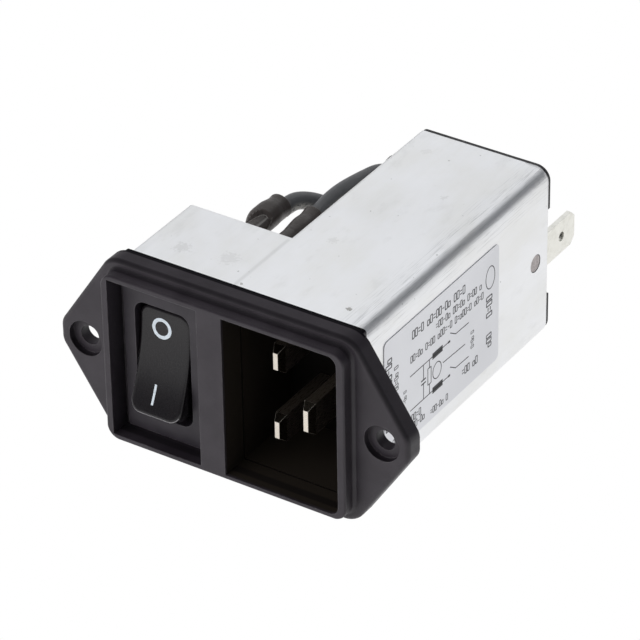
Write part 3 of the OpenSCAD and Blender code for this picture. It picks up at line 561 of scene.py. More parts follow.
@dataclass(frozen=True)
class ContactBlade(PlatedMetal):
    """Nickel-plated contact blade: bright on its front end and its worn edges, with painted shade in dark
    brown on its sides and behind its tip.
    """

    # Painted shade: colour of the faces that don't face forward near the tip, and of the whole blade behind
    # it.
    side_shade: str = "4a443b"
    body_shade: str = "3a342e"
    earth_from_mm: tuple[float, float] = (10.8, 11.0)
    tip_mm: tuple[float, float] = (0.3, -3.1)

    def body(self, g: Graph, base: bpy.types.Node) -> tuple[Any, Any]:
        """Paints shade on all but the front end of each blade, and on every face that doesn't face forward.
        The earth blade reaches further forward.

        Args:
            g: node tree of the material.
            base: colour of the bright plating.

        Returns:
            Colour and metal.
        """
        forward = g.facing()[1]
        x, y, _ = g.place()
        ends = metres((*self.earth_from_mm, *self.tip_mm))
        behind = g.add(Kind.MINUS, y, g.add(Kind.RAMP, x, *ends))
        tip = g.add(Kind.RAMP, behind, 0.0, 0.3 * MM, 1.0, 0.0)
        worn = g.all_of(g.edge(0.1 * MM), tip)
        # Painted shade, darker behind the tip. Only faces that face forward and the worn edges keep the
        # plating's colour.
        side = g.tint(linear(self.body_shade), self.side_shade, tip)
        bright = g.add(Kind.LARGER, g.add(Kind.RAMP, forward, -0.85, -0.97), worn)
        return (g.add(Kind.BLEND, bright, side, base),
                g.all_of(tip, g.add(Kind.RAMP, worn, 0.0, 1.0, 1.0, 0.35)))


@dataclass(frozen=True)
class Flexible(Finish):
    """Extruded or shrunk insulation: waxy, with faint bands round it, dust, a painted highlight on its edges
    and a painted pale reflection on one side.
    """

    ripple: float = 1.4 * MM
    dust: str = "77757a"
    pale: str = ""
    reflection_side: Point = (0.77, 0, -0.64)

    def surface(self, g: Graph) -> dict[str, Any]:
        """Bands, dust, the painted edge highlight and the painted pale reflection on one side.

        Args:
            g: node tree of the material.

        Returns:
            Inputs of the surface shader.
        """
        ripple = g.cloud(self.ripple, 3.0, 0.6, (1, 1.6, 1))
        fine = g.cloud(0.15 * MM, 2.0, 0.6)
        dust = g.add(Kind.RAMP, g.cloud(1.1 * MM, 4.0, 0.7), 0.52, 0.75)
        base = g.tint(linear(self.colour), self.dust, dust, 0.25)
        # Painted highlight along the edges and round the sleeve's mouth.
        base = g.tint(base, "9a9894", g.edge(0.18 * MM), 0.6)
        # Painted reflection: a pale, broken colour on the side that faces the can.
        if self.pale:
            side = g.add(Kind.DOT, g.add(Kind.COORDINATES).outputs["Normal"], self.reflection_side)
            rubbed = g.add(Kind.RAMP, g.cloud(0.5 * MM, 4.0, 0.7), 0.36, 0.5)
            base = g.tint(base, self.pale, rubbed, g.add(Kind.RAMP, side, 0.3, 0.85))
        rough = g.add(Kind.RAMP, ripple, 0.3, 0.7, self.roughness - 0.08, self.roughness + 0.1)
        bands = g.add(Kind.BUMP, Height=ripple, Strength=0.6, Distance=0.06 * MM)
        return {"Base Color": base, "Roughness": rough, "Normal": g.relief(bands, (fine, 0.35, 0.006 * MM))}


@dataclass(frozen=True)
class LabelFilm(Finish):
    """Metallised film with a satin top coat and its adhesive's faint orange peel."""

    tint: str = "dfe0e4"

    def surface(self, g: Graph) -> dict[str, Any]:
        """Orange peel under a thin coat.

        Args:
            g: node tree of the material.

        Returns:
            Inputs of the surface shader.
        """
        tone = g.add(Kind.RAMP, g.cloud(14 * MM, 2.0, 0.5), 0.3, 0.7)
        base = g.tint(linear(self.colour), self.tint, tone)
        normal = g.relief(g.add(Kind.ROUNDING, 0.05 * MM), (g.cloud(1.2 * MM, 2.0, 0.5), 0.25, 0.012 * MM))
        return {"Base Color": base, "Metallic": 0.8, "Roughness": self.roughness, "Normal": normal,
                "Coat Weight": 0.25, "Coat Roughness": 0.2}


@dataclass(frozen=True)
class PadPrint(Finish):
    """Printing ink laid on by a pad: thin, slightly broken."""

    ground: str = "2a292b"
    gaps: float = 0.25

    def surface(self, g: Graph) -> dict[str, Any]:
        """Ink with the ground showing through its gaps.

        Args:
            g: node tree of the material.

        Returns:
            Inputs of the surface shader.
        """
        thin = g.add(Kind.RAMP, g.cloud(0.18 * MM, 3.0, 0.7), 0.62, 0.74, 0.0, self.gaps)
        return {"Base Color": g.tint(linear(self.colour), self.ground, thin),
                "Roughness": self.roughness}


@dataclass(frozen=True)
class Ceramic(Finish):
    """Sintered or dipped body with a fine pitted skin."""

    pit: float = 0.3 * MM

    def surface(self, g: Graph) -> dict[str, Any]:
        """Pits, paler at their bottom.

        Args:
            g: node tree of the material.

        Returns:
            Inputs of the surface shader.
        """
        pits = g.cloud(self.pit, 4.0, 0.7)
        pale = g.add(Kind.RAMP, pits, 0.4, 0.7, 0.0, 0.3)
        base = g.tint(linear(self.colour), "8a8a88", pale)
        normal = g.relief(g.add(Kind.ROUNDING, 0.2 * MM), (pits, 0.5, 0.02 * MM))
        return {"Base Color": base, "Roughness": self.roughness, "Normal": normal}


@dataclass(frozen=True)
class Laminate(Finish):
    """Glass-cloth laminate: the weave shows through the lacquer."""

    weave: float = 0.45 * MM

    def surface(self, g: Graph) -> dict[str, Any]:
        """Warp and weft of the cloth.

        Args:
            g: node tree of the material.

        Returns:
            Inputs of the surface shader.
        """
        coordinates = g.add(Kind.COORDINATES).outputs["Object"]
        threads = [g.add(kind, coordinates, 0.3 / self.weave, 0.6).outputs["Fac"]
                   for kind in (Kind.WARP, Kind.WEFT)]
        cloth = g.add(Kind.TIMES, *threads)
        base = g.tint(linear(self.colour), "6f9a63", cloth, 0.3)
        normal = g.add(Kind.BUMP, Height=cloth, Strength=0.3, Distance=0.01 * MM)
        return {"Base Color": base, "Roughness": self.roughness, "Normal": normal}


class Finishes:
    """Every finish of the line filter, by the material slot of the record."""

    # Glass-filled nylon, moulded: satin near-black with a violet cast, greyer on its rubbed edges, with
    # painted shade in its inlet well, cove and back seam.
    BEZEL = FrontMoulding("bezel_plastic", "302b31", 0.46, edge_radius=0.2 * MM)
    # Nylon from a finer mould: a shade darker and smoother than the front round it.
    SWITCH = MouldedPlastic("switch_plastic", "2c282e", 0.42, gloss=0.38, grain=0.16 * MM,
                            grain_depth=0.004 * MM)
    # Polished moulding that fingers keep clean: nearly black, with a clear shine.
    ROCKER = MouldedPlastic("rocker_plastic", "141115", 0.28, rub="1f1b1d", grain=0.14 * MM,
                            grain_depth=0.003 * MM, edge_radius=0.05 * MM, rub_amount=0.15)
    # Flame-retardant moulding at the back: plain flat black.
    COVER = MouldedPlastic("cover_plastic", "17171a", 0.5)
    # Natural acetal: milky off-white, a little waxy.
    PLUNGER = MouldedPlastic("plunger_plastic", "d8d6cc", 0.4, rub="cbc9c0")
    # Tin-plated steel sheet: pale silver with blurred reflections, streaks and a few dark scuffs.
    CAN = BentSheet("can_steel", "edeef0", 0.36, scuffs=(
        Scuff(16.7, 5.4, 1.0, 0.6), Scuff(-1.5, 2.6, 0.6, 0.5), Scuff(12.1, 41.0, 1.2, 0.12),
        Scuff(3.8, 20.9, 1.6, 0.1), Scuff(-7.2, 7.9, 3.0, 0.1), Scuff(-15.4, 6.7, 2.6, 0.12),
        Scuff(2.2, 51.8, 1.6, 0.07)))
    # Nickel-plated brass blades: a warm white front end, with painted shade in dull brown on the body.
    BLADE = ContactBlade("blade_nickel", "e9e1d6", 0.3, edge_colour="d5cbbd")
    # Tin-plated brass tabs: warm white, soft sheen.
    TAB = PlatedMetal("tab_tinned", "f2f1ea", 0.36, edge_colour="d6d5cc", metal=0.9)
    # Steel rivet, crushed when it was set: grey and blotched.
    RIVET = PlatedMetal("rivet_steel", "bcb6b5", 0.5, edge_colour="605b5b", blotch=0.5 * MM)
    # Stamped brass: yellow, with a dull rolled skin.
    BRASS = PlatedMetal("terminal_brass", "c9a864", 0.32, edge_colour="a78850")
    # Stamped copper: pinkish, brown where it was handled.
    COPPER = PlatedMetal("contact_copper", "c98a5c", 0.3, edge_colour="a9744a")
    # Drawn spring steel: bright grey wire.
    SPRING = PlatedMetal("spring_steel", "b4b3ae", 0.25)
    # Enamelled winding wire: red-brown under clear varnish.
    WIRE = PlatedMetal("enamelled_copper", "a8552c", 0.22, edge_colour="8c4522")
    # Extruded black PVC: dusty dark grey, with a painted pale reflection on one side.
    LEAD = Flexible("lead_pvc", "5b5c5e", 0.42, pale="b5b1ab")
    # Shrunk polyolefin tubing: brown-black, waxy, with fine ripples from the hot air and a painted pale
    # reflection on one side.
    SLEEVE = Flexible("sleeve_shrink", "3a3330", 0.42, ripple=0.6 * MM, dust="6d6460", pale="57504c")
    # Moulded rubber: matt black.
    GROMMET = Flexible("grommet_rubber", "1d1d1e", 0.6)
    # Metallised polyester: pale silver under a satin coat.
    LABEL = LabelFilm("label_film", "e6e7eb", 0.42)
    # Thermal-transfer ink on the film: dark grey, slightly broken.
    INK = PadPrint("label_ink", "38383c", 0.5, ground="c8cbd2", gaps=0.3)
    # White pad-printing ink on the rocker: opaque, faintly blue.
    LEGEND = PadPrint("legend_ink", "dde6ee", 0.5, gaps=0.12)
    # Painted highlight on a rounded edge: a broken pale line.
    EDGE_HIGHLIGHT = PadPrint("edge_highlight_paint", "a09da0", 0.4, ground="5c595c", gaps=0.7)
    # Sintered ferrite: charcoal and finely pitted.
    FERRITE = Ceramic("ferrite", "2b2b2b", 0.5)
    # Dipped ceramic disc: glossy blue lacquer.
    DISC = Ceramic("capacitor_disc", "3a6aa0", 0.35)
    # Coated film resistor: beige lacquer.
    RESISTOR = Ceramic("resistor_body", "bfa987", 0.45)
    # Boxed film capacitor: mustard-yellow moulding.
    CAPACITOR = MouldedPlastic("capacitor_case", "b9a130", 0.45, rub="a58f2a")
    # Glass-epoxy board: green lacquer over woven cloth.
    BOARD = Laminate("board_laminate", "3c6b3a", 0.4)

    @classmethod
    def by_slot(cls) -> dict[str, Finish]:
        """Finish of each material slot."""
        return {finish.name: finish for finish in vars(cls).values() if isinstance(finish, Finish)}


# --------------------------------------------------------------------- meshes


def dress(obj: bpy.types.Object, finish: Finish) -> None:
    """Gives an object one finish, and shades it smoothly but for its sharp edges.

    Args:
        obj: mesh object.
        finish: its finish.
    """
    obj.data.materials.clear()
    obj.data.materials.append(finish.build())
    obj.data.shade_smooth()
    obj.data.set_sharp_from_angle(angle=math.radians(SHARP_DEG))


def add_mesh(name: str, verts: Sequence, faces: Sequence, finish: Finish, body: Body) -> bpy.types.Object:
    """Adds a mesh piece at the origin, with its finish and its body.

    Args:
        name: name of the piece.
        verts: corners in metres, in the model's frame.
        faces: corner numbers, counter-clockwise seen from outside.
        finish: material of the whole piece.
        body: body it rides on.

    Returns:
        The new object.
    """
    mesh = bpy.data.meshes.new(name)
    mesh.from_pydata([tuple(v) for v in verts], [], [tuple(f) for f in faces])
    mesh.validate()
    mesh.update()
    obj = bpy.data.objects.new(name, mesh)
    bpy.context.scene.collection.objects.link(obj)
    dress(obj, finish)
    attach(obj, body.value)
    return obj


def smooth_path(points: Sequence[Vector], step: float) -> list[Vector]:
    """Centripetal curve through the points.

    Args:
        points: corners of the route.
        step: distance between samples, about.

    Returns:
        Samples of the curve, with both ends.
    """
    p = [2 * points[0] - points[1], *points, 2 * points[-1] - points[-2]]
    out: list[Vector] = []
    for i in range(1, len(p) - 2):
        n = max(2, round((p[i + 1] - p[i]).length / step))
        out += [spline_point(p[i - 1:i + 3], k / n) for k in range(n)]
    return [*out, p[-2].copy()]


def spline_point(p: Sequence[Vector], t: float) -> Vector:
    """Point of the centripetal curve through four points.

    Args:
        p: the four points.
        t: 0 at the second point, 1 at the third.

    Returns:
        The point.
    """
    knots = [0.0]
    for a, b in zip(p, p[1:]):
        knots.append(knots[-1] + max((b - a).length, 1e-9) ** 0.5)
    u = knots[1] + t * (knots[2] - knots[1])
    level = list(p)
    for lows, highs in ((knots[:3], knots[1:]), (knots[:2], knots[2:]), (knots[1:2], knots[2:3])):
        level = [(high - u) / (high - low) * a + (u - low) / (high - low) * b
                 for low, high, a, b in zip(lows, highs, level, level[1:])]
    return level[0]


def ring_faces(pairs: Iterable[tuple[int, int]], sides: int) -> list[tuple[int, ...]]:
    """Walls between pairs of closed rings whose corners are numbered one ring after another.

    Args:
        pairs: numbers of the two rings of each wall.
        sides: corners of a ring.

    Returns:
        The faces.
    """
    return [(a * sides + k, a * sides + (k + 1) % sides, b * sides + (k + 1) % sides, b * sides + k)
            for a, b in pairs for k in range(sides)]


def ease(t: float) -> float:
    """Smooth step from 0 to 1, clamped."""
    t = min(max(t, 0.0), 1.0)
    return t * t * (3 - 2 * t)


class MeshTool:
    """A geometry node tree that turns points and edges into a plain mesh piece."""

    def __init__(self, name: str, **sizes: str) -> None:
        """Starts the tree with its named inputs.

        Args:
            name: name of the tree.
            **sizes: type of socket of each size, by the socket's name.
        """
        self.tree = bpy.data.node_groups.new(name, "GeometryNodeTree")
        face = self.tree.interface
        for way in ("INPUT", "OUTPUT"):
            face.new_socket("Geometry", in_out=way, socket_type="NodeSocketGeometry")
        self.inputs = {label: face.new_socket(label, in_out="INPUT", socket_type=kind).identifier
                       for label, kind in {**sizes, "Material": "NodeSocketMaterial"}.items()}
        self.g = Graph(self.tree)
        self.source = self.g.add(Kind.TREE_IN)

    def end(self, shape: bpy.types.Node) -> None:
        """Makes the copies real, paints them and ends the tree."""
        real, material = self.g.add(Kind.REAL, shape), self.source.outputs["Material"]
        self.g.add(Kind.TREE_OUT, self.g.add(Kind.PAINT, Geometry=real, Material=material))

    def run(self, name: str, points: Sequence, edges: Sequence, sizes: dict[str, Any], finish: Finish,
            fields: dict[str, Sequence[Point]]) -> bpy.types.Object:
        """Runs the tree once on points and edges, and keeps the result as a plain mesh.

        Args:
            name: name of the piece.
            points: points in metres.
            edges: pairs of point numbers.
            sizes: value of each size, by the socket's name.
            finish: material of the whole piece.
            fields: named vectors, one for each point.

        Returns:
            The new object on the housing, with no modifier left on it.
        """
        mesh = bpy.data.meshes.new(f"{name}_points")
        mesh.from_pydata([tuple(p) for p in points], [tuple(e) for e in edges], [])
        for key, values in fields.items():
            layer = mesh.attributes.new(key, "FLOAT_VECTOR", "POINT")
            layer.data.foreach_set("vector", [c for v in values for c in v])
        obj = bpy.data.objects.new(name, mesh)
        bpy.context.scene.collection.objects.link(obj)
        modifier = obj.modifiers.new("made", "NODES")
        modifier.node_group = self.tree
        for label, value in {**sizes, "Material": finish.build()}.items():
            modifier[self.inputs[label]] = value
        bpy.context.view_layer.update()
        made = bpy.data.meshes.new_from_object(obj.evaluated_get(bpy.context.evaluated_depsgraph_get()))
        obj.modifiers.remove(modifier)
        obj.data = made
        bpy.data.meshes.remove(mesh)
        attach(obj, Body.HOUSING.value)
        return obj


class TubeTool(MeshTool):
    """Turns a path into a round tube."""

    def __init__(self) -> None:
        """Builds the tree."""
        super().__init__("tube_tool", Radius="NodeSocketFloat", Sides="NodeSocketInt")
        sizes = self.source.outputs
        curve = self.g.add(Kind.CURVE, sizes["Geometry"])
        ring = self.g.add(Kind.CIRCLE, Resolution=sizes["Sides"], Radius=sizes["Radius"])
        tube = self.g.add(Kind.TUBE, curve, ring, **{"Fill Caps": True})
        self.end(self.g.add(Kind.SMOOTH, tube))

    def make(self, name: str, path: Sequence[Vector], radius: float, sides: int,
             finish: Finish) -> bpy.types.Object:
        """Sweeps a tube along a path.

        Args:
            name: name of the piece.
            path: centre line, in metres.
            radius: radius, in metres.
            sides: corners of each ring.
            finish: material of the whole piece.

        Returns:
            The new object.
        """
        edges = [(i, i + 1) for i in range(len(path) - 1)]
        return self.run(name, path, edges, {"Radius": radius, "Sides": sides}, finish, {})


@dataclass(frozen=True)
class Bar:
    """One printed bar: its centre, its stretch along Y and Z, and its turn about X."""

    centre: Point
    stretch: Point
    turn: float = 0.0


class StampTool(MeshTool):
    """Lays one flat bar on every point, stretched and turned by the point's own vectors."""

    def __init__(self) -> None:
        """Builds the tree."""
        super().__init__("stamp_tool", Bar="NodeSocketVector")
        bar = self.g.add(Kind.BOX, self.source.outputs["Bar"])
        stretch = self.g.add(Kind.POINT_VECTOR, "stretch")
        turn = self.g.add(Kind.ROTATION, self.g.add(Kind.POINT_VECTOR, "turn"))
        self.end(self.g.add(Kind.COPIES, Points=self.source.outputs["Geometry"], Instance=bar,
                            Rotation=turn, Scale=stretch))

    def make(self, name: str, bars: Sequence[Bar], size: Point, finish: Finish) -> bpy.types.Object:
        """Lays the bars.

        Args:
            name: name of the piece.
            bars: the bars.
            size: thickness, length and width of a bar that isn't stretched, in metres.
            finish: material of the whole piece.

        Returns:
            The new object.
        """
        fields = {"stretch": [b.stretch for b in bars], "turn": [(b.turn, 0, 0) for b in bars]}
        return self.run(name, [b.centre for b in bars], [], {"Bar": size}, finish, fields)


# --------------------------------------------------------------- sub-assemblies


class Solids:
    """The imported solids."""

    def __init__(self, frame: dict) -> None:
        self.frame = frame

    def build(self) -> Iterable[bpy.types.Object]:
        """Gives every solid the finish of its material slot.

        Returns:
            Each dressed solid.
        """
        finishes = Finishes.by_slot()
        for part in self.frame["record"]["subparts"]:
            solid = self.frame["nodes"][part["node"]]
            dress(solid, finishes[part["material_slot"]])
            yield solid


@dataclass(frozen=True)
class LeadSpec:
    """One jumper lead: its route, as in the part's source, and the form of its shrunk sleeve."""

    node: str
    sleeve_node: str
    route_mm: tuple[Point, ...]
    length_mm: float = 57.0
    lead_radius_mm: float = 1.5
    lead_sides: int = 28
    lead_step_mm: float = 0.5
    sleeve_from_mm: float = 16.6
    sleeve_length_mm: float = 20.0
    tight_radius_mm: float = 1.6
    loose_radius_mm: float = 1.93
    inner_gap_mm: float = 0.03
    shoulder_mm: float = 29.5
    # Share of the shoulder that is a steep step, and the lengths of its steep and its gentle part.
    step: float = 0.2
    steep_mm: float = 0.55
    gentle_mm: float = 3.5
    # Bulge past the shoulder, and how far the loose part lies off the lead's axis. Both set in over
    # a soft length, the drift a little before the shoulder, and a share of both is lost at the mouth.
    swell_mm: float = 0.0
    swell_lost: float = 0.75
    narrow_mm: float = 2.6
    drift_mm: tuple[float, float] = (0.0, 0.0)
    drift_before_mm: float = 1.0
    drift_lost: float = 0.15
    soft_mm: float = 3.0
    # Depth of the cut back side, where it is round the sleeve, and half its width, in radians.
    cut_mm: float = 0.0
    cut_middle: float = 1.05
    cut_half: float = 0.95
    # Thick mouth, the waist before it and the soft folds, with their number round the sleeve and
    # their twist along it, in radians for each millimetre.
    lip_mm: float = 0.16
    waist_mm: float = 0.09
    waist_from_mouth_mm: float = 2.2
    lip_width_mm: float = 0.8
    fold_mm: float = 0.03
    folds: int = 3
    fold_twist: float = 0.2
    rings: int = 200
    sides: int = 44


class JumperLead:
    """A round lead with its shrunk sleeve, in place of the two plain solids."""

    def __init__(self, spec: LeadSpec, tube: TubeTool) -> None:
        """Works out where the sleeve ends.

        Args:
            spec: sizes of the lead and its sleeve.
            tube: tool that sweeps the lead.
        """
        self.spec = spec
        self.tube = tube
        self.end_mm = spec.sleeve_from_mm + spec.sleeve_length_mm

    def build(self) -> Iterable[bpy.types.Object]:
        """Makes both pieces.

        Returns:
            The lead and its sleeve.
        """
        s = self.spec
        path = smooth_path([Vector(p) * MM for p in s.route_mm], s.lead_step_mm * MM)
        lead = self.tube.make(f"{s.node}_round", path, s.lead_radius_mm * MM, s.lead_sides, Finishes.LEAD)
        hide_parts(s.node)
        sleeve = self.sleeve()
        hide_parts(s.sleeve_node)
        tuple(path[0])
        return lead, sleeve

    def sleeve(self) -> bpy.types.Object:
        """Closes rings into a wall: the outside from end to end, then the bore back to the start.

        Returns:
            The sleeve.
        """
        s = self.spec
        rings = [[self.skin(i / s.rings, k) for k in range(s.sides)] for i in range(s.rings + 1)]
        inner = s.lead_radius_mm + s.inner_gap_mm
        rings += [[self.skin(end, k, inner) for k in range(s.sides)] for end in (1, 0)]
        verts = [v for ring in rings for v in ring]
        faces = ring_faces(enumerate([*range(1, len(rings)), 0]), s.sides)
        return add_mesh(f"{s.sleeve_node}_shrunk", verts, faces, Finishes.SLEEVE, Body.HOUSING)

    def skin(self, t: float, k: int, radius: float | None = None) -> Vector:
        """Point of the sleeve.

        Args:
            t: 0 at the sleeve's start, 1 at its mouth.
            k: number of the lengthwise line.
            radius: fixed radius in millimetres, for the inner wall.

        Returns:
            The point, in metres.
        """
        s, angle = self.spec, 2 * math.pi * k / self.spec.sides
        y = s.sleeve_from_mm + s.sleeve_length_mm * t
        loose = self.looseness(y, angle)
        drift = loose * ease((y - s.shoulder_mm + s.drift_before_mm) / s.soft_mm)
        drift *= 1 - s.drift_lost * ease((y - self.end_mm + s.soft_mm) / s.soft_mm)
        r = radius or s.tight_radius_mm + (self.outside(y, angle) - s.tight_radius_mm) * loose
        return Vector((s.route_mm[0][0] + s.drift_mm[0] * drift + r * math.cos(angle), y,
                       s.route_mm[0][2] + s.drift_mm[1] * drift + r * math.sin(angle))) * MM

    def looseness(self, y: float, angle: float) -> float:
        """How far the sleeve stands off the joint; it is cut back on the side facing up.

        Args:
            y: place along the sleeve, in millimetres.
            angle: place round it.

        Returns:
            0 where the sleeve grips the joint, 1 where it stands off.
        """
        s = self.spec
        turn = (angle - s.cut_middle + math.pi) % (2 * math.pi) - math.pi
        past = y - s.shoulder_mm - s.cut_mm * math.exp(-(turn / s.cut_half) ** 4)
        return s.step * ease(past / s.steep_mm) + (1 - s.step) * ease(past / s.gentle_mm)

    def outside(self, y: float, angle: float) -> float:
        """Outer radius of the loose part, with a waist before its thick mouth and soft folds.

        Args:
            y: place along the sleeve, in millimetres.
            angle: place round it.

        Returns:
            The radius, in millimetres.
        """
        s, to_mouth = self.spec, self.end_mm - y
        swell = s.swell_mm * ease((y - s.shoulder_mm) / s.soft_mm)
        swell *= 1 - s.swell_lost * ease((s.soft_mm - to_mouth) / s.narrow_mm)
        lip = math.exp(-(to_mouth / s.lip_width_mm) ** 2) * s.lip_mm
        waist = -math.exp(-((to_mouth - s.waist_from_mouth_mm) / s.lip_width_mm) ** 2) * s.waist_mm
        fold = math.sin(s.folds * angle + y * s.fold_twist) * s.fold_mm
        return s.loose_radius_mm + swell + lip + waist + fold


LEADS: tuple[LeadSpec, ...] = (
    LeadSpec("lead_a", "lead_sleeve_a", (
        (-15.9, 15.9, 7.5), (-15.9, 25, 7.5), (-15.9, 37, 7.5), (-15.3, 38.9, 7.7), (-14.2, 40.6, 7.3),
        (-12.6, 42, 6.6), (-9.6, 42.7, 5.6), (-6.2, 42.4, 4.8), (-3.8, 42, 4.5), (0, 42, 4.5),
        (1.6, 42, 3.6), (2.4, 42, 0.8), (2.4, 42, -6), (2.4, 42, -10.8)),
        sleeve_length_mm=19.5, shoulder_mm=27.4, step=0.75,
        swell_mm=0.42, drift_mm=(-0.62, 0.52), cut_mm=3.1),
    LeadSpec("lead_b", "lead_sleeve_b", (
        (-10.1, 15.9, 7.5), (-10.1, 25, 7.5), (-10.1, 36.8, 7.5), (-9.6, 40.2, 8.7), (-8.6, 42.5, 9.8),
        (-7.3, 44.3, 10.7), (-6, 46.1, 11.4), (-4.9, 47.8, 11.8), (-3.8, 48.6, 11.8), (0, 48.6, 11.8),
        (1.8, 49, 11), (2.6, 50, 8), (2.6, 50, -4), (2.6, 50, -10.8)), length_mm=63.5),
)


# Level, start, end and height of a row, or place, low end, high end and width of a column.
Row = tuple[float, float, float, float]
# Start and end of a stroke: y, z, y, z.
Stroke = tuple[float, float, float, float]


@dataclass(frozen=True)
class PrintSpec:
    """Generic print on the label: rows of bars and a plain line drawing, in millimetres."""

    rows: tuple[Row, ...] = (
        (7.6, 15.1, 31.8, 1.45), (5.35, 22.2, 36.9, 1.2), (3.2, 14.6, 37.3, 1.2), (-8.1, 30.2, 36.0, 1.35),
        (-8.05, 9.6, 18.8, 1.2), (-9.6, 9.2, 19.5, 1.2), (-10.1, 20.5, 26.5, 1.1))
    columns: tuple[Row, ...] = (
        (8.1, -6.4, 8.6, 1.7), (10.3, -6.2, 5.1, 1.1), (12.85, -4.0, -1.4, 0.8), (33.35, -5.0, -1.3, 0.9),
        (38.6, -1.9, 2.4, 1.7), (38.55, -7.8, -4.5, 1.5))
    signs: str = "oo=o xo=oo-ox oo=ox o=oo xoo=-o o=x"
    # How many signs further each row and each column begins.
    row_shift: int = 7
    column_shift: int = 5
    sign_width: float = 0.42
    sign_pitch: float = 0.62
    sign_stroke: float = 0.13
    stroke: float = 0.17
    rails: tuple[float, float] = (0.15, -6.4)
    # Strokes on each rail, measured from its level, with their widths: wire, coil, contact and arm.
    on_rail: tuple[tuple[Stroke, float], ...] = (
        ((14.4, 0, 26.3, 0), 0.17), ((21.1, 0, 24.2, 0), 1.15), ((25.9, 0, 26.5, 0), 0.4),
        ((26.5, 1.5, 28.2, 0.4), 0.17), ((28.2, 0.4, 32.2, 0.3), 0.17))
    # Bridges between the rails: place, end of the upper wire and start of the lower one.
    bridges: tuple[Point, ...] = ((18.4, -2.7, -3.4), (20.2, -1.4, -4.5))
    plates: tuple[Stroke, ...] = ((17.7, -2.7, 19.1, -2.7), (17.7, -3.4, 19.1, -3.4))
    plate_stroke: float = 0.26
    box: tuple[Stroke, ...] = (
        (19.7, -1.4, 20.7, -1.4), (20.7, -1.4, 20.7, -4.5),
        (20.7, -4.5, 19.7, -4.5), (19.7, -4.5, 19.7, -1.4))
    earth_wire: Stroke = (24.3, -2.8, 31.1, -3.1)
    # Middle and half axes of each ring.
    rings: tuple[Row, ...] = ((22.5, -3.15, 1.3, 1.5), (38.9, 5.4, 1.4, 2.1))
    ring_sides: int = 24
    ink_mm: float = 0.012


class RatingPrint:
    """Ink on the bare label: small plain shapes where a label has lines, and a simple wiring sketch."""

    # Lower and upper edge of each sign, as a share of the row's height.
    EDGES = {"o": (-0.5, 0.5), "x": (-0.5, 0.15), "=": (-0.2, 0.2), "-": (0.0, 0.0), " ": (0.0, 0.0)}

    def __init__(self, spec: PrintSpec, stamp: StampTool) -> None:
        """Finds the level of the ink, on the face of the bare label.

        Args:
            spec: sizes of the print.
            stamp: tool that lays it.
        """
        self.spec = spec
        self.stamp = stamp
        self.x = Vector(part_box("rating_label")[1]).x + spec.ink_mm / 2 * MM

    def bar(self, stroke: Stroke, width: float) -> Bar:
        """Bar along a stroke.

        Args:
            stroke: its start and its end, in millimetres.
            width: its width, in millimetres.

        Returns:
            The bar.
        """
        y0, z0, y1, z1 = stroke
        length = math.hypot(y1 - y0, z1 - z0)
        return Bar((self.x, (y0 + y1) / 2 * MM, (z0 + z1) / 2 * MM), (1, length, width),
                   math.atan2(z1 - z0, y1 - y0))

    def signs(self, length: float, height: float, first: int) -> Iterable[Stroke]:
        """Plain boxes and dashes along a row.

        Args:
            length: length of the row.
            height: height of the row.
            first: number of its first sign.

        Returns:
            Each stroke, from the start of the row.
        """
        wide, pitch = self.spec.sign_width * height, self.spec.sign_pitch * height
        for number in range(int(length / pitch)):
            at, sign = number * pitch, self.spec.signs[(first + number) % len(self.spec.signs)]
            low, up = (height * edge for edge in self.EDGES[sign])
            if sign in "ox":
                yield at, low, at, up
                yield at + wide, low, at + wide, up
            if sign != " ":
                yield at, low, at + wide, low
            if sign in "ox=":
                yield at, up, at + wide, up

    def text(self) -> Iterable[Bar]:
        """Bars of every row and every column.

        Returns:
            Each bar.
        """
        for number, (z, start, end, height) in enumerate(self.spec.rows):
            for a, b, c, d in self.signs(end - start, height, self.spec.row_shift * number):
                yield self.bar((start + a, z + b, start + c, z + d), self.spec.sign_stroke * height)
        for number, (y, low, high, height) in enumerate(self.spec.columns):
            for a, b, c, d in self.signs(high - low, height, self.spec.column_shift * number):
                yield self.bar((y - b, low + a, y - d, low + c), self.spec.sign_stroke * height)

    def ring(self, y: float, z: float, half_y: float, half_z: float) -> Iterable[Bar]:
        """Closed ring of short bars.

        Args:
            y: middle along the can.
            z: middle's height.
            half_y: half its length.
            half_z: half its height.

        Returns:
            Each bar.
        """
        turns = [2 * math.pi * k / self.spec.ring_sides for k in range(self.spec.ring_sides + 1)]
        corners = [(y + half_y * math.cos(a), z + half_z * math.sin(a)) for a in turns]
        for a, b in zip(corners, corners[1:]):
            yield self.bar((*a, *b), self.spec.stroke)

    def sketch(self) -> Iterable[Bar]:
        """Two rails with coils, contacts and two bridges between them, an earth wire and two rings.

        Returns:
            Each bar.
        """
        s, (top, low) = self.spec, self.spec.rails
        for z in s.rails:
            for (y0, z0, y1, z1), width in s.on_rail:
                yield self.bar((y0, z + z0, y1, z + z1), width)
        for y, upper, under in s.bridges:
            yield self.bar((y, top, y, upper), s.stroke)
            yield self.bar((y, under, y, low), s.stroke)
        for plate in s.plates:
            yield self.bar(plate, s.plate_stroke)
        for side in (*s.box, s.earth_wire):
            yield self.bar(side, s.stroke)
        for ring in s.rings:
            yield from self.ring(*ring)

    def build(self) -> Iterable[bpy.types.Object]:
        """Lays all the ink as one piece.

        Returns:
            The ink.
        """
        ink = self.stamp.make("label_print", [*self.text(), *self.sketch()],
                              (self.spec.ink_mm * MM, MM, MM), Finishes.INK)
        return (ink,)


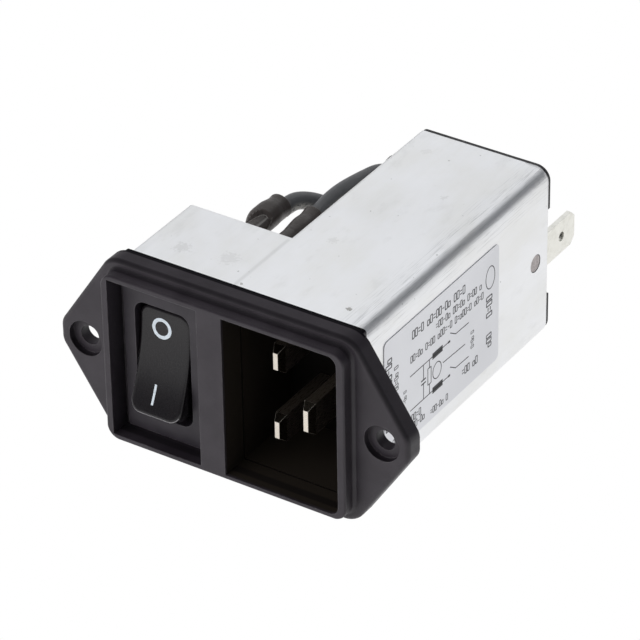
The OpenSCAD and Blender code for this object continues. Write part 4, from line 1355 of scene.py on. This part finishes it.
@dataclass(frozen=True)
class RockerSpec:
    """Sizes of the rocker, as in the part's source, and of its rounding and its marks."""

    centre_mm: Point = (-13.0, -1.0, 0.0)
    rest_tilt_deg: float = -14.0
    end_radius_mm: float = 9.8
    face_angle_deg: float = 21.0
    hollow_radius_mm: float = 33.0
    half_width_mm: float = 4.85
    corner_mm: float = 2.1
    edge_mm: float = 0.5
    underside_mm: float = 2.0
    stud_reach_mm: float = 5.95
    stud_radius_mm: float = 1.2
    stud_sides: int = 24
    stud_rows: int = 8
    # Steps of the mesh: round a corner, along an end, along a side, up the wall, over the edge and
    # in to the middle.
    corner_steps: int = 10
    end_steps: int = 6
    side_steps: int = 16
    wall_rows: int = 5
    edge_rows: int = 6
    face_rows: int = 12
    # Marks: the ring and the bar, with the steps of their mesh across and along the stroke, and
    # the height of their ink over the face.
    ring_middle_mm: tuple[float, float] = (-0.62, 5.75)
    ring_inner_mm: float = 1.24
    ring_stroke_mm: float = 0.6
    ring_steps: tuple[int, int] = (4, 72)
    bar_x_mm: float = -0.7
    bar_top_mm: float = -3.95
    bar_length_mm: float = 3.4
    bar_stroke_mm: float = 0.42
    bar_steps: tuple[int, int] = (2, 10)
    lift_mm: float = 0.012
    # Stretch of the outline whose edge carries the painted highlight, and the part of the rounding that shows
    # it.
    rubbed: tuple[int, int] = (33, 66)
    highlight_deg: tuple[float, ...] = (24, 34, 44)
    highlight_lift_mm: float = 0.01


class SoftRocker:
    """The rocker with its moulded rounding, in place of the sharp-edged solid, and its legend."""

    def __init__(self, spec: RockerSpec) -> None:
        """Works out the face from the rocker's sizes.

        Args:
            spec: the sizes.
        """
        self.spec = spec
        r, a = spec.end_radius_mm, math.radians(spec.face_angle_deg)
        self.half_h = r * math.cos(a)
        self.hollow = r * math.sin(a) + math.sqrt(spec.hollow_radius_mm ** 2 - self.half_h ** 2)
        self.turn = Matrix.Rotation(math.radians(spec.rest_tilt_deg), 3, "X")

    def face_level(self, z: float) -> float:
        """Level of the hollow face at a height on the rocker, in millimetres."""
        return math.sqrt(self.spec.hollow_radius_mm ** 2 - z * z) - self.hollow

    def at_rest(self, x: float, y: float, z: float) -> Vector:
        """Point in the model's frame, in metres, of a point on the untilted rocker."""
        return (self.turn @ Vector((x, y, z)) + Vector(self.spec.centre_mm)) * MM

    def end_stretch(self, y: float) -> float:
        """How much longer the rocker is at a level than across its face, by its round ends."""
        return math.sqrt(self.spec.end_radius_mm ** 2 - y * y) / self.half_h

    def outline(self, inset: float) -> list[tuple[float, float]]:
        """Rounded rectangle of the face.

        Args:
            inset: how far it is moved inwards, in millimetres.

        Returns:
            Its corners, from the right side up and round by the left.
        """
        s = self.spec
        w, h, r = s.half_width_mm - inset, self.half_h - inset, s.corner_mm - inset
        corners = [(w - r, h - r, 0), (r - w, h - r, 90), (r - w, r - h, 180), (w - r, r - h, 270)]
        points: list[tuple[float, float]] = []
        for number, (cx, cz, start) in enumerate(corners):
            arc = [math.radians(start + 90 * k / s.corner_steps) for k in range(s.corner_steps + 1)]
            points += [(cx + r * math.cos(a), cz + r * math.sin(a)) for a in arc]
            nx, nz, after = corners[(number + 1) % 4]
            end = (nx + r * math.cos(math.radians(after)), nz + r * math.sin(math.radians(after)))
            last, steps = points[-1], s.side_steps if number % 2 else s.end_steps
            points += [(last[0] + (end[0] - last[0]) * k / steps, last[1] + (end[1] - last[1]) * k / steps)
                       for k in range(1, steps)]
        return points

    def rounding(self, a: float) -> tuple[list[tuple[float, float]], float]:
        """Outline and rise at an angle of the rounded edge, 0 on the wall and a quarter turn on the face."""
        edge = self.spec.edge_mm
        return self.outline(edge * (1 - math.cos(a))), edge * (1 - math.sin(a))

    def rings(self) -> list[list[Point]]:
        """Rings from the underside up the walls, over the rounded edge and in to the middle.

        Returns:
            Each ring's points on the untilted rocker.
        """
        s, rings = self.spec, []
        for k in range(s.wall_rows + 1):
            up = k / s.wall_rows
            levels = [(x, s.underside_mm + (self.face_level(z) + s.edge_mm - s.underside_mm) * up, z)
                      for x, z in self.outline(0)]
            rings.append([(x, y, z * self.end_stretch(y)) for x, y, z in levels])
        for k in range(1, s.edge_rows + 1):
            outline, rise = self.rounding(math.radians(90 * k / s.edge_rows))
            levels = [(x, self.face_level(z) + rise, z) for x, z in outline]
            share = 1 - k / s.edge_rows
            rings.append([(x, y, z * (1 + (self.end_stretch(y) - 1) * share)) for x, y, z in levels])
        for k in range(1, s.face_rows):
            share = 1 - k / s.face_rows
            inner = [(x * share, z * share) for x, z in self.outline(s.edge_mm)]
            rings.append([(x, self.face_level(z), z) for x, z in inner])
        return rings

    def moulding(self) -> bpy.types.Object:
        """Closes the rings at the underside and at the middle of the face, and adds the stud.

        Returns:
            The rocker.
        """
        s, rings = self.spec, self.rings()
        n, last = len(rings[0]), (len(rings) - 1) * len(rings[0])
        verts = [self.at_rest(*v) for ring in rings for v in ring]
        low, high = len(verts), len(verts) + 1
        verts += [self.at_rest(0, s.underside_mm, 0), self.at_rest(0, self.face_level(0), 0)]
        faces = ring_faces([(i + 1, i) for i in range(len(rings) - 1)], n)
        faces += [(low, k, (k + 1) % n) for k in range(n)]
        faces += [(high, last + (k + 1) % n, last + k) for k in range(n)]
        more, walls = self.stud()
        faces += [tuple(v + len(verts) for v in wall) for wall in walls]
        piece = add_mesh("rocker_moulded", [*verts, *more], faces, Finishes.ROCKER, Body.ROCKER)
        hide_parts("rocker")
        return piece

    def stud(self) -> tuple[list[Vector], list[tuple[int, ...]]]:
        """Round bar through the rocker whose ends are the two studs.

        Returns:
            Its corners and its faces.
        """
        s, centre = self.spec, Vector(self.spec.centre_mm)
        turns = [2 * math.pi * (k / s.stud_sides + 0.125) for k in range(s.stud_sides)]
        circle = [(s.stud_radius_mm * math.cos(a), s.stud_radius_mm * math.sin(a)) for a in turns]
        verts = [(centre + Vector((s.stud_reach_mm * (2 * i / s.stud_rows - 1), y, z))) * MM
                 for i in range(s.stud_rows + 1) for y, z in circle]
        faces = ring_faces([(i, i + 1) for i in range(s.stud_rows)], s.stud_sides)
        faces.append(tuple(reversed(range(s.stud_sides))))
        faces.append(tuple(s.stud_rows * s.stud_sides + k for k in range(s.stud_sides)))
        return verts, faces

    def mark(self, name: str, outline: Callable[[float, float], tuple[float, float]],
             steps: tuple[int, int], closed: bool) -> bpy.types.Object:
        """Lays a strip of ink on the face.

        Args:
            name: name of the piece.
            outline: place on the face for two shares from 0 to 1, across the strip and along it.
            steps: steps across the strip and along it.
            closed: whether the strip's end meets its start.

        Returns:
            The ink.
        """
        across, along = steps
        rows, wide = along + (not closed), across + 1
        places = [outline(k / across, i / along) for i in range(rows) for k in range(wide)]
        verts = [self.at_rest(x, self.face_level(z) - self.spec.lift_mm, z) for x, z in places]
        faces = [(i * wide + k, i * wide + k + 1, (i + 1) % rows * wide + k + 1, (i + 1) % rows * wide + k)
                 for i in range(along) for k in range(across)]
        piece = add_mesh(name, verts, faces, Finishes.LEGEND, Body.ROCKER)
        return piece

    def ring(self, across: float, along: float) -> tuple[float, float]:
        """Place on the ring, for shares across its stroke and round it."""
        (x, z), radius = self.spec.ring_middle_mm, self.spec.ring_inner_mm + across * self.spec.ring_stroke_mm
        return x + radius * math.cos(2 * math.pi * along), z + radius * math.sin(2 * math.pi * along)

    def bar(self, across: float, along: float) -> tuple[float, float]:
        """Place on the bar, for shares across its stroke and down it."""
        s = self.spec
        return s.bar_x_mm + (across - 0.5) * s.bar_stroke_mm, s.bar_top_mm - along * s.bar_length_mm

    def highlight_line(self) -> bpy.types.Object:
        """Thin pale line of painted highlight on the rounded edge, from the left side round to the lower
        right.

        Returns:
            The line.
        """
        s, verts = self.spec, []
        for number in range(*s.rubbed):
            for a in (math.radians(angle) for angle in s.highlight_deg):
                outline, rise = self.rounding(a)
                x, z = outline[number]
                y = self.face_level(z) + rise
                out = 1 + s.highlight_lift_mm / math.hypot(x, z)
                share = 1 - math.degrees(a) / 90
                verts.append(self.at_rest(
                    x * out, y - s.highlight_lift_mm, z * out * (1 + (self.end_stretch(y) - 1) * share)))
        wide = len(s.highlight_deg)
        faces = [(i * wide + k, i * wide + k + 1, (i + 1) * wide + k + 1, (i + 1) * wide + k)
                 for i in range(s.rubbed[1] - s.rubbed[0] - 1) for k in range(wide - 1)]
        piece = add_mesh("rocker_edge_highlight", verts, faces, Finishes.EDGE_HIGHLIGHT, Body.ROCKER)
        return piece

    def build(self) -> Iterable[bpy.types.Object]:
        """Makes the rocker, the painted highlight on its edge and both marks.

        Returns:
            Each piece.
        """
        yield self.moulding()
        yield self.highlight_line()
        yield self.mark("legend_off", self.ring, self.spec.ring_steps, closed=True)
        yield self.mark("legend_on", self.bar, self.spec.bar_steps, closed=False)


# --------------------------------------------------------------------- studio


@dataclass(frozen=True)
class CameraSpec:
    """The picture's view: place, axes and lens."""

    place_mm: Point = (308.93, -445.28, 367.27)
    right: Point = (0.83961, 0.54300, -0.01463)
    down: Point = (0.28809, -0.46796, -0.83547)
    ahead: Point = (-0.46050, 0.69725, -0.54934)
    focal_mm: float = 233.52
    sensor_mm: float = 36.0
    nearest: float = 0.01
    furthest: float = 20.0


@dataclass(frozen=True)
class SoftBox:
    """One area lamp: where it stands round the object, in degrees and metres, and how bright it is."""

    name: str
    azimuth: float
    elevation: float
    distance: float
    width: float
    height: float
    radiance: float
    mirrored: bool = True


@dataclass(frozen=True)
class Surroundings:
    """Floor and room: a white backdrop to the eye, and a plain grey room to the object's light."""

    floor_half: float = 4.0
    floor_gap: float = 0.2 * MM
    paper: str = "f2f2f2"
    backdrop: str = "ffffff"
    room: str = "8a8c90"
    # Directions between which the room brightens towards the object's rear, and its strengths there.
    brightens: tuple[float, float] = (-0.4, 0.2)
    strengths: tuple[float, float] = (0.45, 0.75)
    lamps_aim: Point = (0, 25 * MM, 0)


class Studio:
    """Camera, floor, surroundings and lamps."""

    BOXES: tuple[SoftBox, ...] = (
        SoftBox("back_left_sheet", 328, 35, 0.9, 1.35, 0.9, 0.72),
        SoftBox("top_sheet", 330, 80, 1.0, 0.6, 0.6, 0.7),
        SoftBox("right_sheet", 105, 25, 1.0, 0.6, 0.6, 0.4),
        SoftBox("low_left_sheet", 265, 12, 1.0, 0.6, 0.4, 0.5),
        SoftBox("front_fill", 210, 16, 0.5, 0.6, 0.5, 2.5, mirrored=False),
        SoftBox("camera_sheet", 158, 50, 1.0, 0.22, 0.22, 1.6),
        SoftBox("rear_sheet", 15, 52, 1.0, 0.5, 0.4, 0.5),
    )

    def __init__(self, camera: CameraSpec, around: Surroundings) -> None:
        """Takes the view and the surroundings."""
        self.spec = camera
        self.around = around

    def build(self) -> None:
        """Sets up everything round the object."""
        self.camera()
        self.floor()
        self.room()
        for box in self.BOXES:
            self.lamp(box)
        bpy.context.scene.view_settings.view_transform = "Standard"

    def camera(self) -> None:
        """Places the camera on its three axes."""
        c = self.spec
        data = bpy.data.cameras.new("studio_camera")
        data.sensor_width = c.sensor_mm
        data.lens = c.focal_mm
        data.clip_start = c.nearest
        data.clip_end = c.furthest
        obj = bpy.data.objects.new("studio_camera", data)
        turn = Matrix((Vector(c.right), -Vector(c.down), -Vector(c.ahead))).transposed().to_4x4()
        obj.matrix_world = Matrix.Translation(Vector(c.place_mm) * MM) @ turn
        bpy.context.scene.collection.objects.link(obj)
        bpy.context.scene.camera = obj

    def floor(self) -> None:
        """Lays white paper that glows to the eye and in mirrors, and takes the object's shadow."""
        s, z = self.around.floor_half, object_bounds()[0][2] - self.around.floor_gap
        mesh = bpy.data.meshes.new("studio_floor")
        mesh.from_pydata([(-s, -s, z), (s, -s, z), (s, s, z), (-s, s, z)], [], [(0, 1, 2, 3)])
        floor = bpy.data.objects.new("studio_floor", mesh)
        bpy.context.scene.collection.objects.link(floor)
        material = bpy.data.materials.new("studio_floor")
        material.use_nodes = True
        material.node_tree.nodes.clear()
        g = Graph(material.node_tree)
        ray = g.add(Kind.RAY).outputs
        plain = g.add(Kind.LARGER, ray["Is Camera Ray"], ray["Is Glossy Ray"])
        paper = g.add(Kind.PAPER, linear(self.around.paper))
        glow = g.add(Kind.GLOW, linear(self.around.backdrop), 1.0)
        g.add(Kind.MATERIAL_OUT, g.add(Kind.EITHER, plain, paper, glow))
        mesh.materials.append(material)
        floor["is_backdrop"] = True

    def room(self) -> None:
        """Surrounds the object with a room whose light comes more from the rear than from the front."""
        world = bpy.data.worlds.new("studio")
        world.use_nodes = True
        world.node_tree.nodes.clear()
        g = Graph(world.node_tree)
        to_rear = g.add(Kind.AXES, g.add(Kind.COORDINATES).outputs["Generated"]).outputs[1]
        strength = g.add(Kind.RAMP, to_rear, *self.around.brightens, *self.around.strengths)
        room = g.add(Kind.SKY, linear(self.around.room), strength)
        seen = g.add(Kind.SKY, linear(self.around.backdrop), 1.0)
        g.add(Kind.WORLD_OUT, g.add(Kind.EITHER, g.add(Kind.RAY).outputs["Is Camera Ray"], room, seen))
        bpy.context.scene.world = world

    def lamp(self, box: SoftBox) -> None:
        """Hangs one area lamp and turns it to the object.

        Args:
            box: the lamp.
        """
        data = bpy.data.lights.new(box.name, "AREA")
        data.shape = "RECTANGLE"
        data.size = box.width
        data.size_y = box.height
        data.energy = box.radiance * math.pi * box.width * box.height
        a, e = math.radians(box.azimuth), math.radians(box.elevation)
        away = Vector((math.sin(a) * math.cos(e), math.cos(a) * math.cos(e), math.sin(e)))
        turn = away.to_track_quat("Z", "Y").to_matrix().to_4x4()
        obj = bpy.data.objects.new(box.name, data)
        obj.matrix_world = Matrix.Translation(Vector(self.around.lamps_aim) + away * box.distance) @ turn
        obj.visible_glossy = box.mirrored
        bpy.context.scene.collection.objects.link(obj)


def main() -> None:
    """Builds the dressed part in its studio and reports each piece."""
    logging.basicConfig(level=logging.INFO, format="%(message)s")
    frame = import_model()
    tube = TubeTool()
    leads = [JumperLead(spec, tube) for spec in LEADS]
    for part in (Solids(frame), *leads, RatingPrint(PrintSpec(), StampTool()), SoftRocker(RockerSpec())):
        for piece in part.build():
            LOG.info("%s: %s, %d faces", type(part).__name__, piece.name, len(piece.data.polygons))
    Studio(CameraSpec(), Surroundings()).build()


if __name__ == "__main__":
    main()
